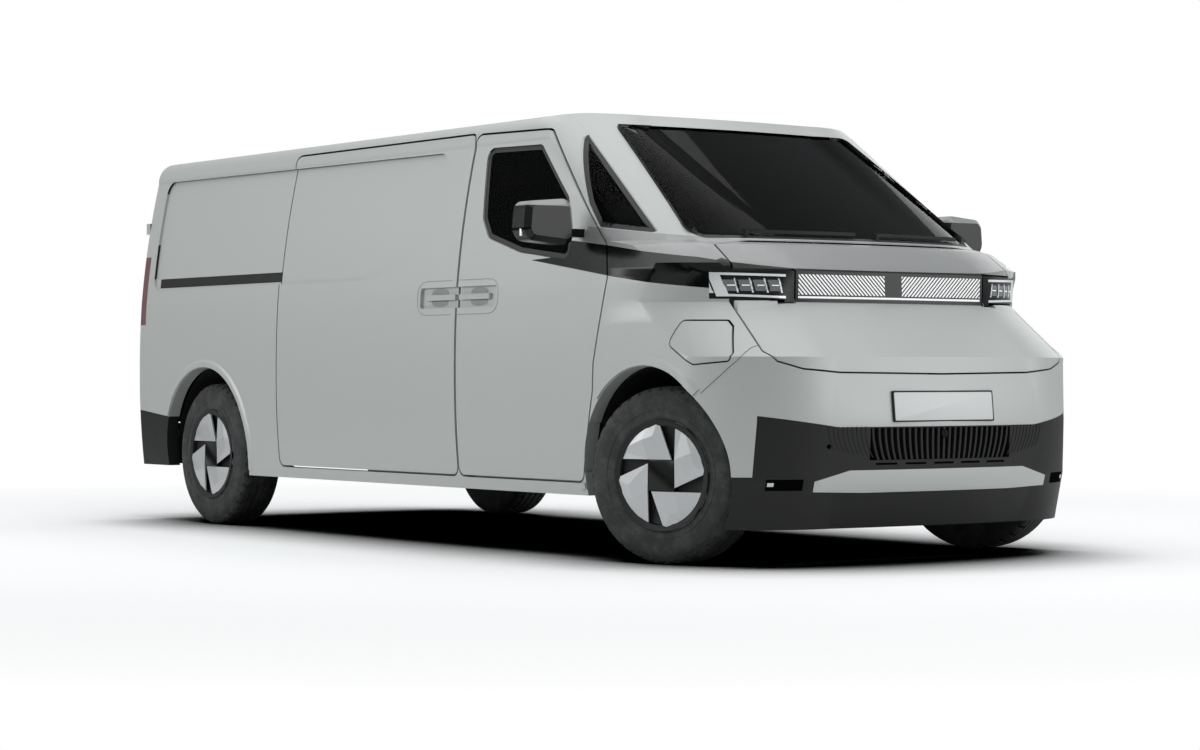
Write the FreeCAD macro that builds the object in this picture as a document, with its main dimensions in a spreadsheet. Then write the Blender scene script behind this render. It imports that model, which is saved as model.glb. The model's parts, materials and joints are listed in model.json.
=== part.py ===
import FreeCAD, Part
import math
import os
import Sketcher
from FreeCAD import Placement, Rotation, Vector

os.makedirs("parts", exist_ok=True)
doc = FreeCAD.newDocument("panel_van")

# Driving sizes in millimetres and degrees, kept in the sheet.
SIZES = {
    "wheelbase": 3650,
    "front_overhang": 665,
    "rear_overhang": 750,
    "body_width": 1960,
    "body_height": 1880,
    "sill_bottom": 256,
    "wall": 60,
    "overrun": 400,
    "fit_gap": 0.3,
    "bore_clearance": 0.5,
    "panel_gap": 6,
    "door_gap": 9,
    "rear_door_gap": 12,
    "tail_chamfer": 28,
    "roof_half_breadth": 760,
    "roof_skin": 34,
    "roof_rib_depth": 7,
    "roof_rib_breadth": 70,
    "recess_depth": 12,
    "recess_radius": 60,
    "glass_thickness": 8,
    "windscreen_setback": 8,
    "window_radius": 45,
    "small_window_radius": 15,
    "door_radius": 40,
    "arch_radius": 425,
    "arch_drop": 5,
    "handle_length": 235,
    "handle_height": 24,
    "handle_stand": 9,
    "handle_pocket_depth": 15,
    "handle_rise": 1068,
    "bonnet_thickness": 26,
    "bonnet_gap": 7,
    "relief_breadth": 30,
    "lip_thickness": 7,
    "bar_thickness": 12,
    "lamp_depth": 70,
    "bumper_thickness": 45,
    "slat_count": 16,
    "flap_thickness": 4,
    "flap_radius": 14,
    "socket_setback": 34,
    "socket_radius": 34,
    "socket_length": 22,
    "tow_eye_radius": 10,
    "tow_eye_aside": 560,
    "tow_eye_rise": 470,
    "rear_bumper_depth": 130,
    "rear_hinge_radius": 9,
    "rear_hinge_length": 55,
    "rear_hinge_offset": 10,
    "rear_hinge_aside": 911,
    "rear_hinge_high": 1500,
    "rear_hinge_low": 660,
    "rear_leaf_breadth": 70,
    "rear_leaf_thickness": 6,
    "tail_lamp_length": 85,
    "tail_lamp_breadth": 55,
    "tail_lamp_bottom": 1000,
    "tail_lamp_top": 1350,
    "tail_lamp_depth": 25,
    "rack_bolt_radius": 4,
    "rack_spacing_long": 1800,
    "rack_spacing_wide": 1300,
    "rack_setback": 2200,
    "tyre_radius": 350,
    "tyre_width": 215,
    "tyre_shoulder": 22,
    "tyre_shoulder_rise": 31,
    "rim_radius": 203,
    "rim_lip": 12,
    "track_width": 1664,
    "cover_radius": 220,
    "cover_stand": 8,
    "cover_thickness": 30,
    "cover_hub_half": 56,
    "cover_slot_start": 63,
    "cover_slot_end": 182,
    "cover_slot_narrow": 9,
    "cover_slot_broad": 60,
    "hub_radius": 60,
    "spindle_radius": 24,
    "kingpin_offset": 32,
    "parked_steer": 19,
    "knuckle_height": 250,
    "knuckle_breadth": 90,
    "knuckle_thickness": 36,
    "arm_thickness": 24,
    "arm_breadth": 56,
    "subframe_breadth": 900,
    "subframe_length": 420,
    "subframe_height": 60,
    "mount_post_radius": 30,
    "rear_beam_radius": 45,
    "trailing_arm_length": 420,
    "trailing_arm_breadth": 60,
    "floor_height": 470,
    "floor_thickness": 40,
    "floor_edge_gap": 20,
    "housing_wall": 8,
    "housing_depth": 395,
    "housing_gap": 6,
    "battery_length": 1900,
    "battery_breadth": 1300,
    "battery_height": 190,
    "battery_setback": 2628,
    "drive_length": 340,
    "drive_breadth": 620,
    "drive_height": 330,
    "partition_setback": 1530,
    "bulkhead_thickness": 30,
    "firewall_setback": 180,
    "firewall_breadth": 980,
    "firewall_top": 1212,
    "seat_setback": 1080,
    "seat_breadth": 480,
    "seat_length": 480,
    "seat_cushion_height": 150,
    "seat_base_height": 260,
    "seat_base_inset": 28,
    "seat_offset": 400,
    "seat_back_height": 560,
    "seat_back_thickness": 130,
    "seat_back_lean": 14,
    "head_rest_breadth": 260,
    "head_rest_height": 170,
    "head_rest_thickness": 90,
    "dash_depth": 330,
    "dash_height": 300,
    "dash_top": 1150,
    "dash_breadth": 1560,
    "dash_slope": 110,
    "steering_radius": 190,
    "steering_rim": 28,
    "steering_spoke": 30,
    "steering_lean": 56,
    "steering_rise": 1100,
    "column_radius": 24,
    "column_length": 230,
    "mirror_setback": 520,
    "mirror_aside": 1010,
    "mirror_bottom": 1268,
    "mirror_height": 190,
    "mirror_breadth": 245,
    "mirror_depth": 105,
    "mirror_radius": 45,
    "mirror_arm": 34,
    "mirror_rim": 24,
    "wiper_rise": 1310,
    "wiper_breadth": 16,
    "wiper_height": 14,
    "wiper_pivot_radius": 13,
    "wiper_drop": 46,
}

sheet = doc.addObject("Spreadsheet::Sheet", "Sizes")
for row, (alias, value) in enumerate(SIZES.items(), start=1):
    sheet.set(f"A{row}", alias)
    sheet.set(f"B{row}", str(value))
    sheet.setAlias(f"B{row}", alias)
doc.recompute()


def size(alias):
    """One driving size from the sheet."""
    return float(sheet.get(alias))


def worked_out(expression):
    """The value that an expression has now."""
    return float(sheet.evalExpression(expression))


# Places that follow from the driving sizes. The origin is on the ground, half way along.
ALONG = Vector(1, 0, 0)
ACROSS = Vector(0, 1, 0)
UP = Vector(0, 0, 1)
CENTRE = Vector(0, 0, 0)
length = size("front_overhang") + size("wheelbase") + size("rear_overhang")
half_width = size("body_width") / 2
height = size("body_height")
reach = size("overrun")
far = length + 2 * reach
front_axle = length / 2 - size("front_overhang")
rear_axle = front_axle - size("wheelbase")
axle_height = size("tyre_radius")
wheel_centre = size("track_width") / 2
kingpin = wheel_centre - size("kingpin_offset")
tail_x = -length / 2 + size("rear_hinge_offset") + size("rear_hinge_radius")
arch_height = axle_height + size("arch_drop")
floor_top = size("floor_height")
floor_under = floor_top - size("floor_thickness")
partition_x = front_axle - size("partition_setback")
firewall_x = front_axle - size("firewall_setback")
SIDES = ((1, "left"), (-1, "right"))

# Plan outlines of the nose, one for each level: height as a share of the body height, then
# the reach ahead of the front axle as a share of the front overhang and the breadth as a
# share of the half width, from the middle out.
NOSE_LEVEL_SHARES = (
    (0.0798, (0.880, 0), (0.835, 0.510), (0.654, 0.852), (0.451, 0.944), (0.150, 1.005)),
    (0.1809, (0.985, 0), (0.917, 0.561), (0.722, 0.852), (0.496, 0.964), (0.150, 1.018)),
    (0.2979, (1.000, 0), (0.940, 0.561), (0.752, 0.837), (0.511, 0.969), (0.150, 1.031)),
    (0.4335, (0.962, 0), (0.905, 0.510), (0.782, 0.801), (0.541, 0.954), (0.150, 1.026)),
    (0.5479, (0.544, 0), (0.519, 0.510), (0.385, 0.765), (0.150, 0.918), (-0.226, 1.010)),
    (0.6133, (0.537, 0), (0.526, 0.510), (0.394, 0.745), (0.256, 0.883), (-0.226, 1.005)),
    (0.6293, (0.489, 0), (0.474, 0.510), (0.362, 0.750), (0.239, 0.893), (-0.226, 1.002)),
    (0.6691, (0.353, 0), (0.323, 0.459), (0.195, 0.750), (0.045, 0.883), (-0.451, 0.992)),
    (0.6809, (0.278, 0), (0.226, 0.459), (0.008, 0.790), (-0.105, 0.867), (-0.632, 0.982)),
    (0.9574, (-0.985, 0), (-1.023, 0.459), (-1.077, 0.714), (-1.188, 0.816), (-1.654, 0.888)),
    (0.9814, (-1.053, 0), (-1.090, 0.459), (-1.158, 0.694), (-1.293, 0.806), (-1.805, 0.883)),
    (1.0106, (-1.955, 0), (-1.970, 0.459), (-2.045, 0.694), (-2.195, 0.806), (-2.707, 0.883)),
)

# Left half of the cross-section, from the sill up to the middle of the roof: shares of the
# half width and of the body height. Every other point ends an arc.
SECTION_SHARES = (
    (0.957, 0.080), (0.985, 0.205), (1.000, 0.380), (0.999, 0.470), (0.989, 0.590),
    (0.950, 0.755), (0.888, 0.920), (0.857, 0.963), (0.800, 0.978),
)

# Outlines on the side, as shares of the wheelbase from the front axle and of the body height.
DOOR_SHARES = (
    (-0.0959, 0.3617), (-0.0945, 0.4202), (-0.0795, 0.5426), (-0.0725, 0.6037),
    (-0.0790, 0.6755), (-0.1003, 0.7128), (-0.2230, 0.9430), (-0.3726, 0.9500),
    (-0.3726, 0.1649), (-0.1205, 0.1649),
)
DOOR_WINDOW_SHARES = (
    (-0.3460, 0.9150), (-0.2330, 0.9100), (-0.1620, 0.7846), (-0.1480, 0.7128),
    (-0.1500, 0.6450), (-0.2479, 0.6681), (-0.3164, 0.7053), (-0.3332, 0.7500),
)
QUARTER_WINDOW_SHARES = (
    (-0.1900, 0.9300), (-0.1640, 0.9300), (-0.0200, 0.6950), (-0.1050, 0.7150),
)
SLIDE_DOOR_SHARES = (
    (-0.3745, 0.9520), (-0.8010, 0.9520), (-0.8010, 0.1649), (-0.3745, 0.1649),
)
RECESS_SHARES = (
    (-1.1600, 0.9230), (-0.4300, 0.9150), (-0.4330, 0.7300), (-0.4480, 0.6990), (-0.5450, 0.6431),
    (-0.5920, 0.6250), (-1.1600, 0.6250),
)
HANDLE_POCKET_SHARES = (
    (-0.4535, 0.5500), (-0.4535, 0.5980), (-0.2890, 0.5980), (-0.2890, 0.5500),
)
RAIL_SHARES = ((-1.1450, 0.6310), (-0.8010, 0.6310), (-0.8010, 0.6560), (-1.1450, 0.6560))
FLAP_SHARES = (
    (0.0465, 0.5090), (0.0850, 0.5085), (0.0935, 0.4960), (0.1160, 0.4400),
    (0.1160, 0.4240), (0.0805, 0.4170), (0.0438, 0.4559),
)
BUMPER_SHARES = (
    (0.0822, 0.3394), (0.1280, 0.4360), (0.1400, 0.4470), (0.3000, 0.4470),
    (0.3000, 0.0800), (0.0500, 0.0800), (0.0500, 0.3394),
)
BAND_SHARES = (
    (0.0550, 0.5540), (0.3000, 0.5480), (0.3000, 0.6133), (0.0900, 0.6133), (0.0550, 0.6400),
)
REAR_BUMPER_SHARES = (
    (-1.0200, 0.2650), (-1.0822, 0.2782), (-1.2300, 0.3069), (-1.2300, 0.1500), (-1.0200, 0.1500),
)

# Outlines seen from the front or back, as shares of the half width and of the body height.
PILLAR_SHARES = ((0.862, 0.6600), (0.764, 0.9700))
BONNET_SHARES = (
    (0, 0.4000), (0.510, 0.4032), (0.673, 0.4106), (0.765, 0.4255), (0.798, 0.4447),
    (0.790, 0.4700), (0.765, 0.5505), (0.750, 0.6293), (0.744, 0.6760),
)
WINDSCREEN_SHARES = ((0.775, 0.6850), (0.640, 0.9560))
GRILLE_SHARES = (
    (1.060, 0.0800), (1.060, 0.1880), (0.848, 0.1880), (0.836, 0.3130), (0.530, 0.2894), (0, 0.2894),
)
INSERT_SHARES = (
    (0, 0.1535), (0.400, 0.1535), (0.628, 0.1570), (0.628, 0.1790), (0.470, 0.2005), (0, 0.2005),
)
REAR_DOOR_SHARES = ((0.935, 0.262), (0.935, 0.600), (0.860, 0.860), (0.815, 0.945))
MIRROR_SHARES = ((0, 0.140), (0.120, 0), (0.900, 0.080), (1.000, 0.300), (0.960, 0.900), (0.060, 1.000))

pieces = []


def arcs_through(points):
    """Arcs that follow a smooth curve through nine points of a plan outline."""
    curve = Part.BSplineCurve()
    curve.interpolate(points)
    spots = [curve.parameter(point) for point in points]
    first = curve.value((spots[0] + spots[1]) / 2)
    last = curve.value((spots[-1] + spots[-2]) / 2)
    chain = [points[0], first] + points[1:-1] + [last, points[-1]]
    return [Part.Arc(*chain[index:index + 3]).toShape() for index in range(0, len(chain) - 2, 2)]


def moved_inwards(points, inset):
    """Points of a plan outline moved square to their smooth curve."""
    curve = Part.BSplineCurve()
    curve.interpolate(points)
    moved = []
    for point in points:
        tangent = curve.tangent(curve.parameter(point))[0]
        moved.append(point + UP.cross(tangent) * inset)
    return moved


def nose_volume(inset, smooth):
    """Everything behind the nose and windscreen surface; hidden faces are left in flats."""
    wires = []
    back = -far
    for level_share, *shares in NOSE_LEVEL_SHARES:
        z = level_share * height
        half = []
        for forward, aside in shares:
            half.append(Vector(front_axle + forward * size("front_overhang"), aside * half_width, z))
        points = [Vector(spot.x, -spot.y, z) for spot in reversed(half[1:])] + half
        points = moved_inwards(points, inset)
        if smooth:
            edges = arcs_through(points)
        else:
            edges = [Part.makeLine(*pair) for pair in zip(points, points[1:])]
        corners = [points[-1], Vector(back, points[-1].y, z), Vector(back, points[0].y, z), points[0]]
        edges += [Part.makeLine(*pair) for pair in zip(corners, corners[1:])]
        wires.append(Part.Wire(edges))
    return Part.makeLoft(wires, True, True)


def hull_volume(inset):
    """The van's cross-section run along its length up to the tail."""
    left = [Vector(0, aside * half_width, up * height) for aside, up in SECTION_SHARES]
    right = [Vector(0, -spot.y, spot.z) for spot in reversed(left)]
    edges = []
    for side in (left, right):
        for index in range(0, len(side) - 2, 2):
            edges.append(Part.Arc(*side[index:index + 3]).toShape())
    edges.insert(len(edges) // 2, Part.Arc(left[-1], UP * height, right[0]).toShape())
    edges.append(Part.makeLine(right[-1], left[0]))
    section = Part.Face(Part.Wire(edges))
    if inset:
        section = section.makeOffset2D(-inset)
    start = tail_x + max(inset, size("tail_chamfer"))
    run = section.extrude(ALONG * (length + reach))
    run.translate(ALONG * start)
    if inset < size("tail_chamfer"):
        near = section.makeOffset2D(inset - size("tail_chamfer"), join=2).OuterWire
        near.translate(ALONG * (tail_x + inset))
        edge = section.OuterWire
        edge.translate(ALONG * start)
        run = run.fuse(Part.makeLoft([near, edge], True, True))
    return run


def envelope(inset, smooth=False):
    """The whole body surface moved inwards by inset."""
    return hull_volume(inset).common(nose_volume(inset, smooth))


def outline_face(points, radius, grow):
    """Flat face inside an outline, with round corners, grown all round."""
    face = Part.Face(Part.makePolygon(points + [points[0]]))
    if radius:
        face = face.makeOffset2D(-radius).makeOffset2D(radius)
    if grow:
        face = face.makeOffset2D(grow)
    return face


def side_prism(shares, side, radius=0.0, grow=0.0):
    """Outline seen from the side, run through one side wall (side is 1 left, -1 right)."""
    inboard = side * size("roof_half_breadth") / 2
    points = []
    for forward, up in shares:
        points.append(Vector(front_axle + forward * size("wheelbase"), inboard, up * height))
    return outline_face(points, radius, grow).extrude(ACROSS * side * (half_width + reach))


def front_prism(shares, start, end, radius=0.0, grow=0.0):
    """Outline seen from the front, mirrored about the middle and run from start to end."""
    points = [Vector(start, aside * half_width, up * height) for aside, up in shares]
    points += [Vector(start, -spot.y, spot.z) for spot in reversed(points) if spot.y > 0]
    return outline_face(points, radius, grow).extrude(ALONG * (end - start))


def block(x0, x1, y0, y1, z0, z1):
    """Box between two corners, given in either order across."""
    low, high = sorted((y0, y1))
    return Part.makeBox(x1 - x0, high - low, z1 - z0, Vector(x0, low, z0))


def slab(z0, z1, half=0.0):
    """Level slice of the whole length, as broad as twice half, or of all the breadth."""
    half = half or half_width + reach
    return block(-far, far, -half, half, z0, z1)


def rod(radius, start, run):
    """Round rod from a point along a vector."""
    return Part.makeCylinder(radius, run.Length, start, run)


def main_solid(shape):
    """The largest solid of a cut shape."""
    return max(shape.Solids, key=lambda solid: solid.Volume)


def skin_x(y, z):
    """How far forward the body surface reaches at one breadth and height."""
    ray = Part.makeLine(Vector(0, y, z), Vector(far, y, z))
    return outer.common(ray).BoundBox.XMax


def node(name, shape, placement=None):
    """A sub-part whose shape is worked out by the functions here."""
    item = doc.addObject("Part::Feature", name)
    item.Label = name
    item.Shape = shape
    if placement is not None:
        item.Placement = placement
    pieces.append(item)


def bound(kind, name, **sizes):
    """A primitive whose sizes and place are bound to the sheet."""
    item = doc.addObject(kind, name)
    item.Label = name
    for property_name, expression in sizes.items():
        item.setExpression(property_name.replace("_", "."), expression)
    return item


def joined(kind, name, members):
    """Several primitives as one sub-part, fused or side by side."""
    item = doc.addObject(kind, name)
    item.Label = name
    if kind == "Part::Compound":
        item.Links = members
    else:
        item.Shapes = members
    return item


def outline_sketch(body, name, role, corners):
    """Closed outline on one of the body's planes; each corner is a pair of expressions."""
    sketch = body.newObject("Sketcher::SketchObject", name)
    plane = next(item for item in body.Origin.OriginFeatures if item.Role == role)
    sketch.AttachmentSupport = [(plane, "")]
    sketch.MapMode = "FlatFace"
    spots = [Vector(worked_out(aside), worked_out(up), 0) for aside, up in corners]
    count = len(spots)
    for index, spot in enumerate(spots):
        sketch.addGeometry(Part.LineSegment(spot, spots[(index + 1) % count]))
    for index in range(count):
        sketch.addConstraint(Sketcher.Constraint("Coincident", index, 2, (index + 1) % count, 1))
    for index, corner in enumerate(corners):
        for kind, expression in zip(("DistanceX", "DistanceY"), corner):
            datum = Sketcher.Constraint(kind, -1, 1, index, 1, worked_out(expression))
            number = sketch.addConstraint(datum)
            sketch.setExpression(f"Constraints[{number}]", expression)
    return sketch


def turned_body(name, corners):
    """A body turned about its own Y axis from a half section."""
    body = doc.addObject("PartDesign::Body", name)
    body.Label = name
    section = outline_sketch(body, name + "_section", "XY_Plane", corners)
    turn = body.newObject("PartDesign::Revolution", name + "_turn")
    turn.Profile = section
    turn.ReferenceAxis = (section, ["V_Axis"])
    turn.Angle = 360
    return body


# The body surface and the layers under it.
outer = envelope(0, True)
shell = outer.cut([envelope(size("wall")), slab(0, size("sill_bottom"))])
glass_layer = envelope(size("windscreen_setback"), True).cut(
    envelope(size("windscreen_setback") + size("glass_thickness"), True))
recess_layer = outer.cut(hull_volume(size("recess_depth")))
cabin = envelope(size("wall") + size("fit_gap"))

# Zones of the front.
bonnet_start_share = 0.190
bonnet_start = front_axle + bonnet_start_share * size("front_overhang")
bonnet_hole = front_prism(BONNET_SHARES, bonnet_start, far, 0, size("bonnet_gap"))
bonnet_form = front_prism(BONNET_SHARES, bonnet_start + size("bonnet_gap"), far)
bonnet_top = BONNET_SHARES[-1][1] * height
bonnet_hinge = Vector(bonnet_start + size("bonnet_gap") / 2, 0, bonnet_top)
bonnet_relief = front_prism(BONNET_SHARES, front_axle, far, 0, size("bonnet_gap") + size("relief_breadth"))
lip_core = envelope(size("lip_thickness"), True)
bonnet_relief = bonnet_relief.common(lip_core)
middle_share = 0.56
bumper_top_share = 0.412
zone_start = front_axle + BUMPER_SHARES[-1][0] * size("wheelbase")
band_bottom = BAND_SHARES[1][1] * height
band_top = BAND_SHARES[2][1] * height
middle = half_width * middle_share
bumper_form = side_prism(BUMPER_SHARES, 1).fuse([
    side_prism(BUMPER_SHARES, -1), block(zone_start, far, -middle, middle, 0, height * bumper_top_share)])
band_form = side_prism(BAND_SHARES, 1).fuse([
    side_prism(BAND_SHARES, -1), block(zone_start, far, -middle, middle, band_bottom, band_top)])
windscreen_start = front_axle - size("partition_setback")
windscreen_hole = front_prism(WINDSCREEN_SHARES, windscreen_start, far, size("window_radius"))
lamp_edge = half_width * BONNET_SHARES[1][0]
arches = []
for axle_x in (front_axle, rear_axle):
    arch_start = Vector(axle_x, -half_width - reach, arch_height)
    arches.append(rod(size("arch_radius"), arch_start, ACROSS * 2 * (half_width + reach)))


def bonnet_pieces():
    """Bonnet with lobes under the headlamps, and the light bar let into it."""
    gap = size("bonnet_gap")
    skin = outer.cut(envelope(size("bonnet_thickness"))).common(bonnet_form)
    skin = skin.cut(lip_core.common(slab(bonnet_top - size("relief_breadth"), height)))
    lamp_corner = Vector(skin_x(lamp_edge, band_bottom), 0, band_bottom)
    sweep = (lamp_corner - bonnet_hinge).Length + gap
    lobe = rod(sweep, bonnet_hinge - ACROSS * far, ACROSS * 2 * far)
    lobe = lobe.common(slab(0, band_top + gap)).cut(slab(0, height, lamp_edge))
    skin = main_solid(skin.cut(lobe))
    bar_zone = slab(band_bottom, band_top, lamp_edge)
    bar = outer.cut(envelope(size("bar_thickness"))).common(bar_zone).common(skin)
    seat = outer.cut(envelope(size("bar_thickness") + size("fit_gap"))).common(bar_zone)
    return main_solid(skin.cut(seat)), main_solid(bar)


def headlamps():
    """One closed lamp unit on each front corner, ending beside the light bar."""
    lamps = outer.cut(envelope(size("lamp_depth"))).common(band_form)
    above = bonnet_hole.common(slab(band_top, height))
    return lamps.cut([slab(0, height, lamp_edge + size("bonnet_gap")), above])


def grille_slots():
    """Upright slots through the lower grille that leave the slats between them."""
    slot_low_share = 0.230
    slot_high_share = 0.281
    open_share = 0.58
    count = int(size("slat_count"))
    pitch = 2 * lamp_edge / count
    low = height * slot_low_share
    high = height * slot_high_share
    slots = []
    for index in range(count):
        centre = -lamp_edge + (index + 1 / 2) * pitch
        half = pitch * open_share / 2
        slots.append(block(front_axle, far, centre - half, centre + half, low, high))
    return slots


def bumper_pieces():
    """Painted bumper with its lower insert, and the black grille between them."""
    cover = outer.cut(envelope(size("bumper_thickness"))).common(bumper_form)
    cover = cover.cut([bonnet_hole] + arches)
    grille_form = front_prism(GRILLE_SHARES, zone_start, far)
    insert_form = front_prism(INSERT_SHARES, zone_start, far)
    eye_start = Vector(front_axle, -size("tow_eye_aside"), size("tow_eye_rise"))
    eye = rod(size("tow_eye_radius"), eye_start, ALONG * far)
    grille = main_solid(cover.common(grille_form))
    insert = main_solid(grille.common(front_prism(INSERT_SHARES, zone_start, far, 0, -size("fit_gap"))))
    painted = main_solid(cover.cut(grille_form))
    grille = main_solid(grille.cut(insert_form))
    return Part.Compound([painted, insert]), main_solid(grille.cut([eye] + grille_slots()))


bonnet, light_bar = bonnet_pieces()
bumper, grille = bumper_pieces()
node("bonnet", bonnet)
node("light_bar", light_bar)
node("headlamps", headlamps())
node("front_bumper", bumper)
node("lower_grille", grille)

# Zones of the tail.
rear_hole = front_prism(REAR_DOOR_SHARES, -far, tail_x + size("wall") + size("fit_gap"), size("door_radius"))
step_low = size("sill_bottom") + size("panel_gap") / 2
step_high = REAR_DOOR_SHARES[0][1] * height - size("door_gap")
step_middle = block(-far, tail_x + size("rear_bumper_depth"), -middle, middle, 0, step_high)
step_zone = side_prism(REAR_BUMPER_SHARES, 1).fuse([side_prism(REAR_BUMPER_SHARES, -1), step_middle])
hinge_x = tail_x - size("rear_hinge_offset")


def tail_lamp(side, gap):
    """Lens that wraps round one tail corner, grown by a gap."""
    layer = outer.cut(hull_volume(size("tail_lamp_depth") + gap))
    zone = block(-far, tail_x + size("tail_lamp_length") + gap,
                 side * (half_width - size("tail_lamp_breadth") - gap), side * far,
                 size("tail_lamp_bottom") - gap, size("tail_lamp_top") + gap)
    return layer.common(zone)


def rear_hinges(side):
    """Barrels and their brackets on one tail corner, at two heights."""
    radius = size("rear_hinge_radius")
    aside = size("rear_hinge_aside")
    shapes = []
    for middle_height in (size("rear_hinge_low"), size("rear_hinge_high")):
        low = middle_height - size("rear_hinge_length") / 2
        barrel = rod(radius, Vector(hinge_x, side * aside, low), UP * size("rear_hinge_length"))
        bracket = block(hinge_x, tail_x + size("wall") / 2, side * (aside + size("bore_clearance")),
                        side * (aside + radius), low, low + size("rear_hinge_length"))
        shapes += [barrel, bracket]
    return shapes


def hinge_leaves(side):
    """Flat leaves on one rear door that reach to the hinge barrels."""
    thick = size("rear_leaf_thickness")
    aside = size("rear_hinge_aside")
    shapes = []
    for middle_height in (size("rear_hinge_low"), size("rear_hinge_high")):
        low = middle_height - size("rear_hinge_length") / 2
        high = low + size("rear_hinge_length")
        barrel = rod(size("rear_hinge_radius") + size("fit_gap"), Vector(hinge_x, side * aside, low), UP * (high - low))
        inboard = aside - size("rear_leaf_breadth") - size("wall")
        strip = block(tail_x - thick, tail_x - 2 * size("fit_gap"), side * inboard, side * (aside - size("fit_gap")),
                      low, high)
        pad = block(tail_x - thick, tail_x + thick, side * inboard, side * (inboard + size("rear_leaf_breadth") / 2),
                    low, high)
        shapes.append(strip.fuse(pad).cut(barrel))
    return shapes


def quarter_form(side, grow):
    """Run of the small fixed window between the windscreen pillar and the door."""
    form = side_prism(QUARTER_WINDOW_SHARES, side, size("small_window_radius"), grow)
    pillar = front_prism(PILLAR_SHARES, 0, far, 0, -grow)
    return form.cut([pillar, side_prism(DOOR_SHARES, side, size("door_radius"), size("door_gap"))])


def handle_pocket(side):
    """Shallow pocket behind the door handles."""
    layer = outer.cut(hull_volume(size("handle_pocket_depth")))
    return layer.common(side_prism(HANDLE_POCKET_SHARES, side, size("small_window_radius")))


def handle(side, ahead_of_gap):
    """Bar handle on two posts across the pocket, beside the gap between two doors."""
    gap_x = front_axle + DOOR_SHARES[-2][0] * size("wheelbase")
    long = size("handle_length")
    start = gap_x + (long / 16 if ahead_of_gap else -long - long / 16)
    low = size("handle_rise")
    face = half_width - size("handle_stand")
    tall = size("handle_height")
    bar = block(start, start + long, side * (face - size("handle_stand")), side * face, low, low + tall)
    deep = face - size("handle_pocket_depth") - 2 * size("handle_stand")
    posts = []
    for post_x in (start, start + long - tall):
        posts.append(block(post_x, post_x + tall, side * deep, side * face, low, low + tall))
    return [bar] + posts


def bumper_free(shape):
    """A piece of the body with the bumper and lamp zones taken out."""
    return shape.cut([bonnet_hole, bonnet_relief, bumper_form, band_form, rear_hole, step_zone] + arches)


roof_split_share = 0.930
roof_split = height * roof_split_share


def side_wall(side):
    """One side wall with its wing, pillars and rear quarter."""
    wall = shell.common(block(-far, far, 0, side * far, 0, far))
    cuts = [side_prism(DOOR_SHARES, side, size("door_radius"), size("door_gap") / 2)]
    cuts += [windscreen_hole, quarter_form(side, 0), tail_lamp(side, size("fit_gap"))]
    cuts.append(recess_layer.common(side_prism(RECESS_SHARES, side, size("recess_radius"))))
    cuts.append(slab(roof_split, far, size("roof_half_breadth")))
    if side < 0:
        cuts.append(side_prism(SLIDE_DOOR_SHARES, side, size("door_radius"), size("door_gap") / 2))
        cuts.append(side_prism(FLAP_SHARES, side, size("flap_radius"), size("panel_gap") / 2))
        cuts.append(side_prism(RAIL_SHARES, side))
    wall = main_solid(bumper_free(wall).cut(cuts))
    return main_solid(wall.fuse(rear_hinges(side)))


def roof_panel():
    """Roof with lengthwise ribs and four threaded holes for a rack."""
    zone = slab(roof_split, far, size("roof_half_breadth") - size("fit_gap"))
    roof = outer.cut(envelope(size("roof_skin"))).common(zone)
    rib_layer = outer.cut(hull_volume(size("roof_rib_depth")))
    rib_end = partition_x - size("wall")
    grooves = []
    rib_shares = (-0.62, -0.31, 0.31, 0.62)
    for rib_share in rib_shares:
        middle_y = rib_share * size("roof_half_breadth")
        half = size("roof_rib_breadth") / 2
        zone = block(tail_x + 2 * size("wall"), rib_end, middle_y - half, middle_y + half, 0, far)
        grooves.append(rib_layer.common(zone))
    holes = []
    for x_sign in (-1, 1):
        for y_sign in (-1, 1):
            foot = Vector(front_axle - size("rack_setback") + x_sign * size("rack_spacing_long") / 2,
                          y_sign * size("rack_spacing_wide") / 2, 0)
            holes.append(rod(size("rack_bolt_radius"), foot, UP * far))
    return main_solid(roof.cut([windscreen_hole, rear_hole] + grooves + holes))


def front_door(side):
    """Front door as thick as the wall, with its window opening and handle."""
    form = side_prism(DOOR_SHARES, side, size("door_radius"), -size("door_gap") / 2)
    window = side_prism(DOOR_WINDOW_SHARES, side, size("window_radius"))
    roof_zone = slab(roof_split - size("panel_gap"), far, size("roof_half_breadth") + size("panel_gap"))
    door = main_solid(shell.common(form).cut([window, roof_zone, handle_pocket(side)] + arches))
    return main_solid(door.fuse(handle(side, True)))


def sliding_door():
    """Sliding side door with its part of the upper recess and a handle."""
    form = side_prism(SLIDE_DOOR_SHARES, -1, size("door_radius"), -size("door_gap") / 2)
    recess = recess_layer.common(side_prism(RECESS_SHARES, -1, size("recess_radius")))
    door = main_solid(shell.common(form).cut([recess, handle_pocket(-1)]))
    return main_solid(door.fuse(handle(-1, False)))


def slide_rail():
    """Rail behind the sliding door, up to the door's own roller."""
    layer = shell.cut(recess_layer)
    door_edge = front_axle + SLIDE_DOOR_SHARES[1][0] * size("wheelbase") + size("door_gap") / 2
    rail = layer.common(side_prism(RAIL_SHARES, -1, 0, -size("bore_clearance")))
    link_low = RAIL_SHARES[0][1] * height + size("panel_gap")
    link_high = RAIL_SHARES[2][1] * height - size("panel_gap")
    rail_start = front_axle + RAIL_SHARES[1][0] * size("wheelbase")
    link = block(rail_start - size("door_gap"), door_edge - size("fit_gap"), -far, 0, link_low, link_high)
    return main_solid(rail.fuse(layer.common(link)))


def front_glass(side):
    """Pane that fills a front door's window opening."""
    return glass_layer.common(side_prism(DOOR_WINDOW_SHARES, side, size("window_radius"), -size("fit_gap")))


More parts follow.
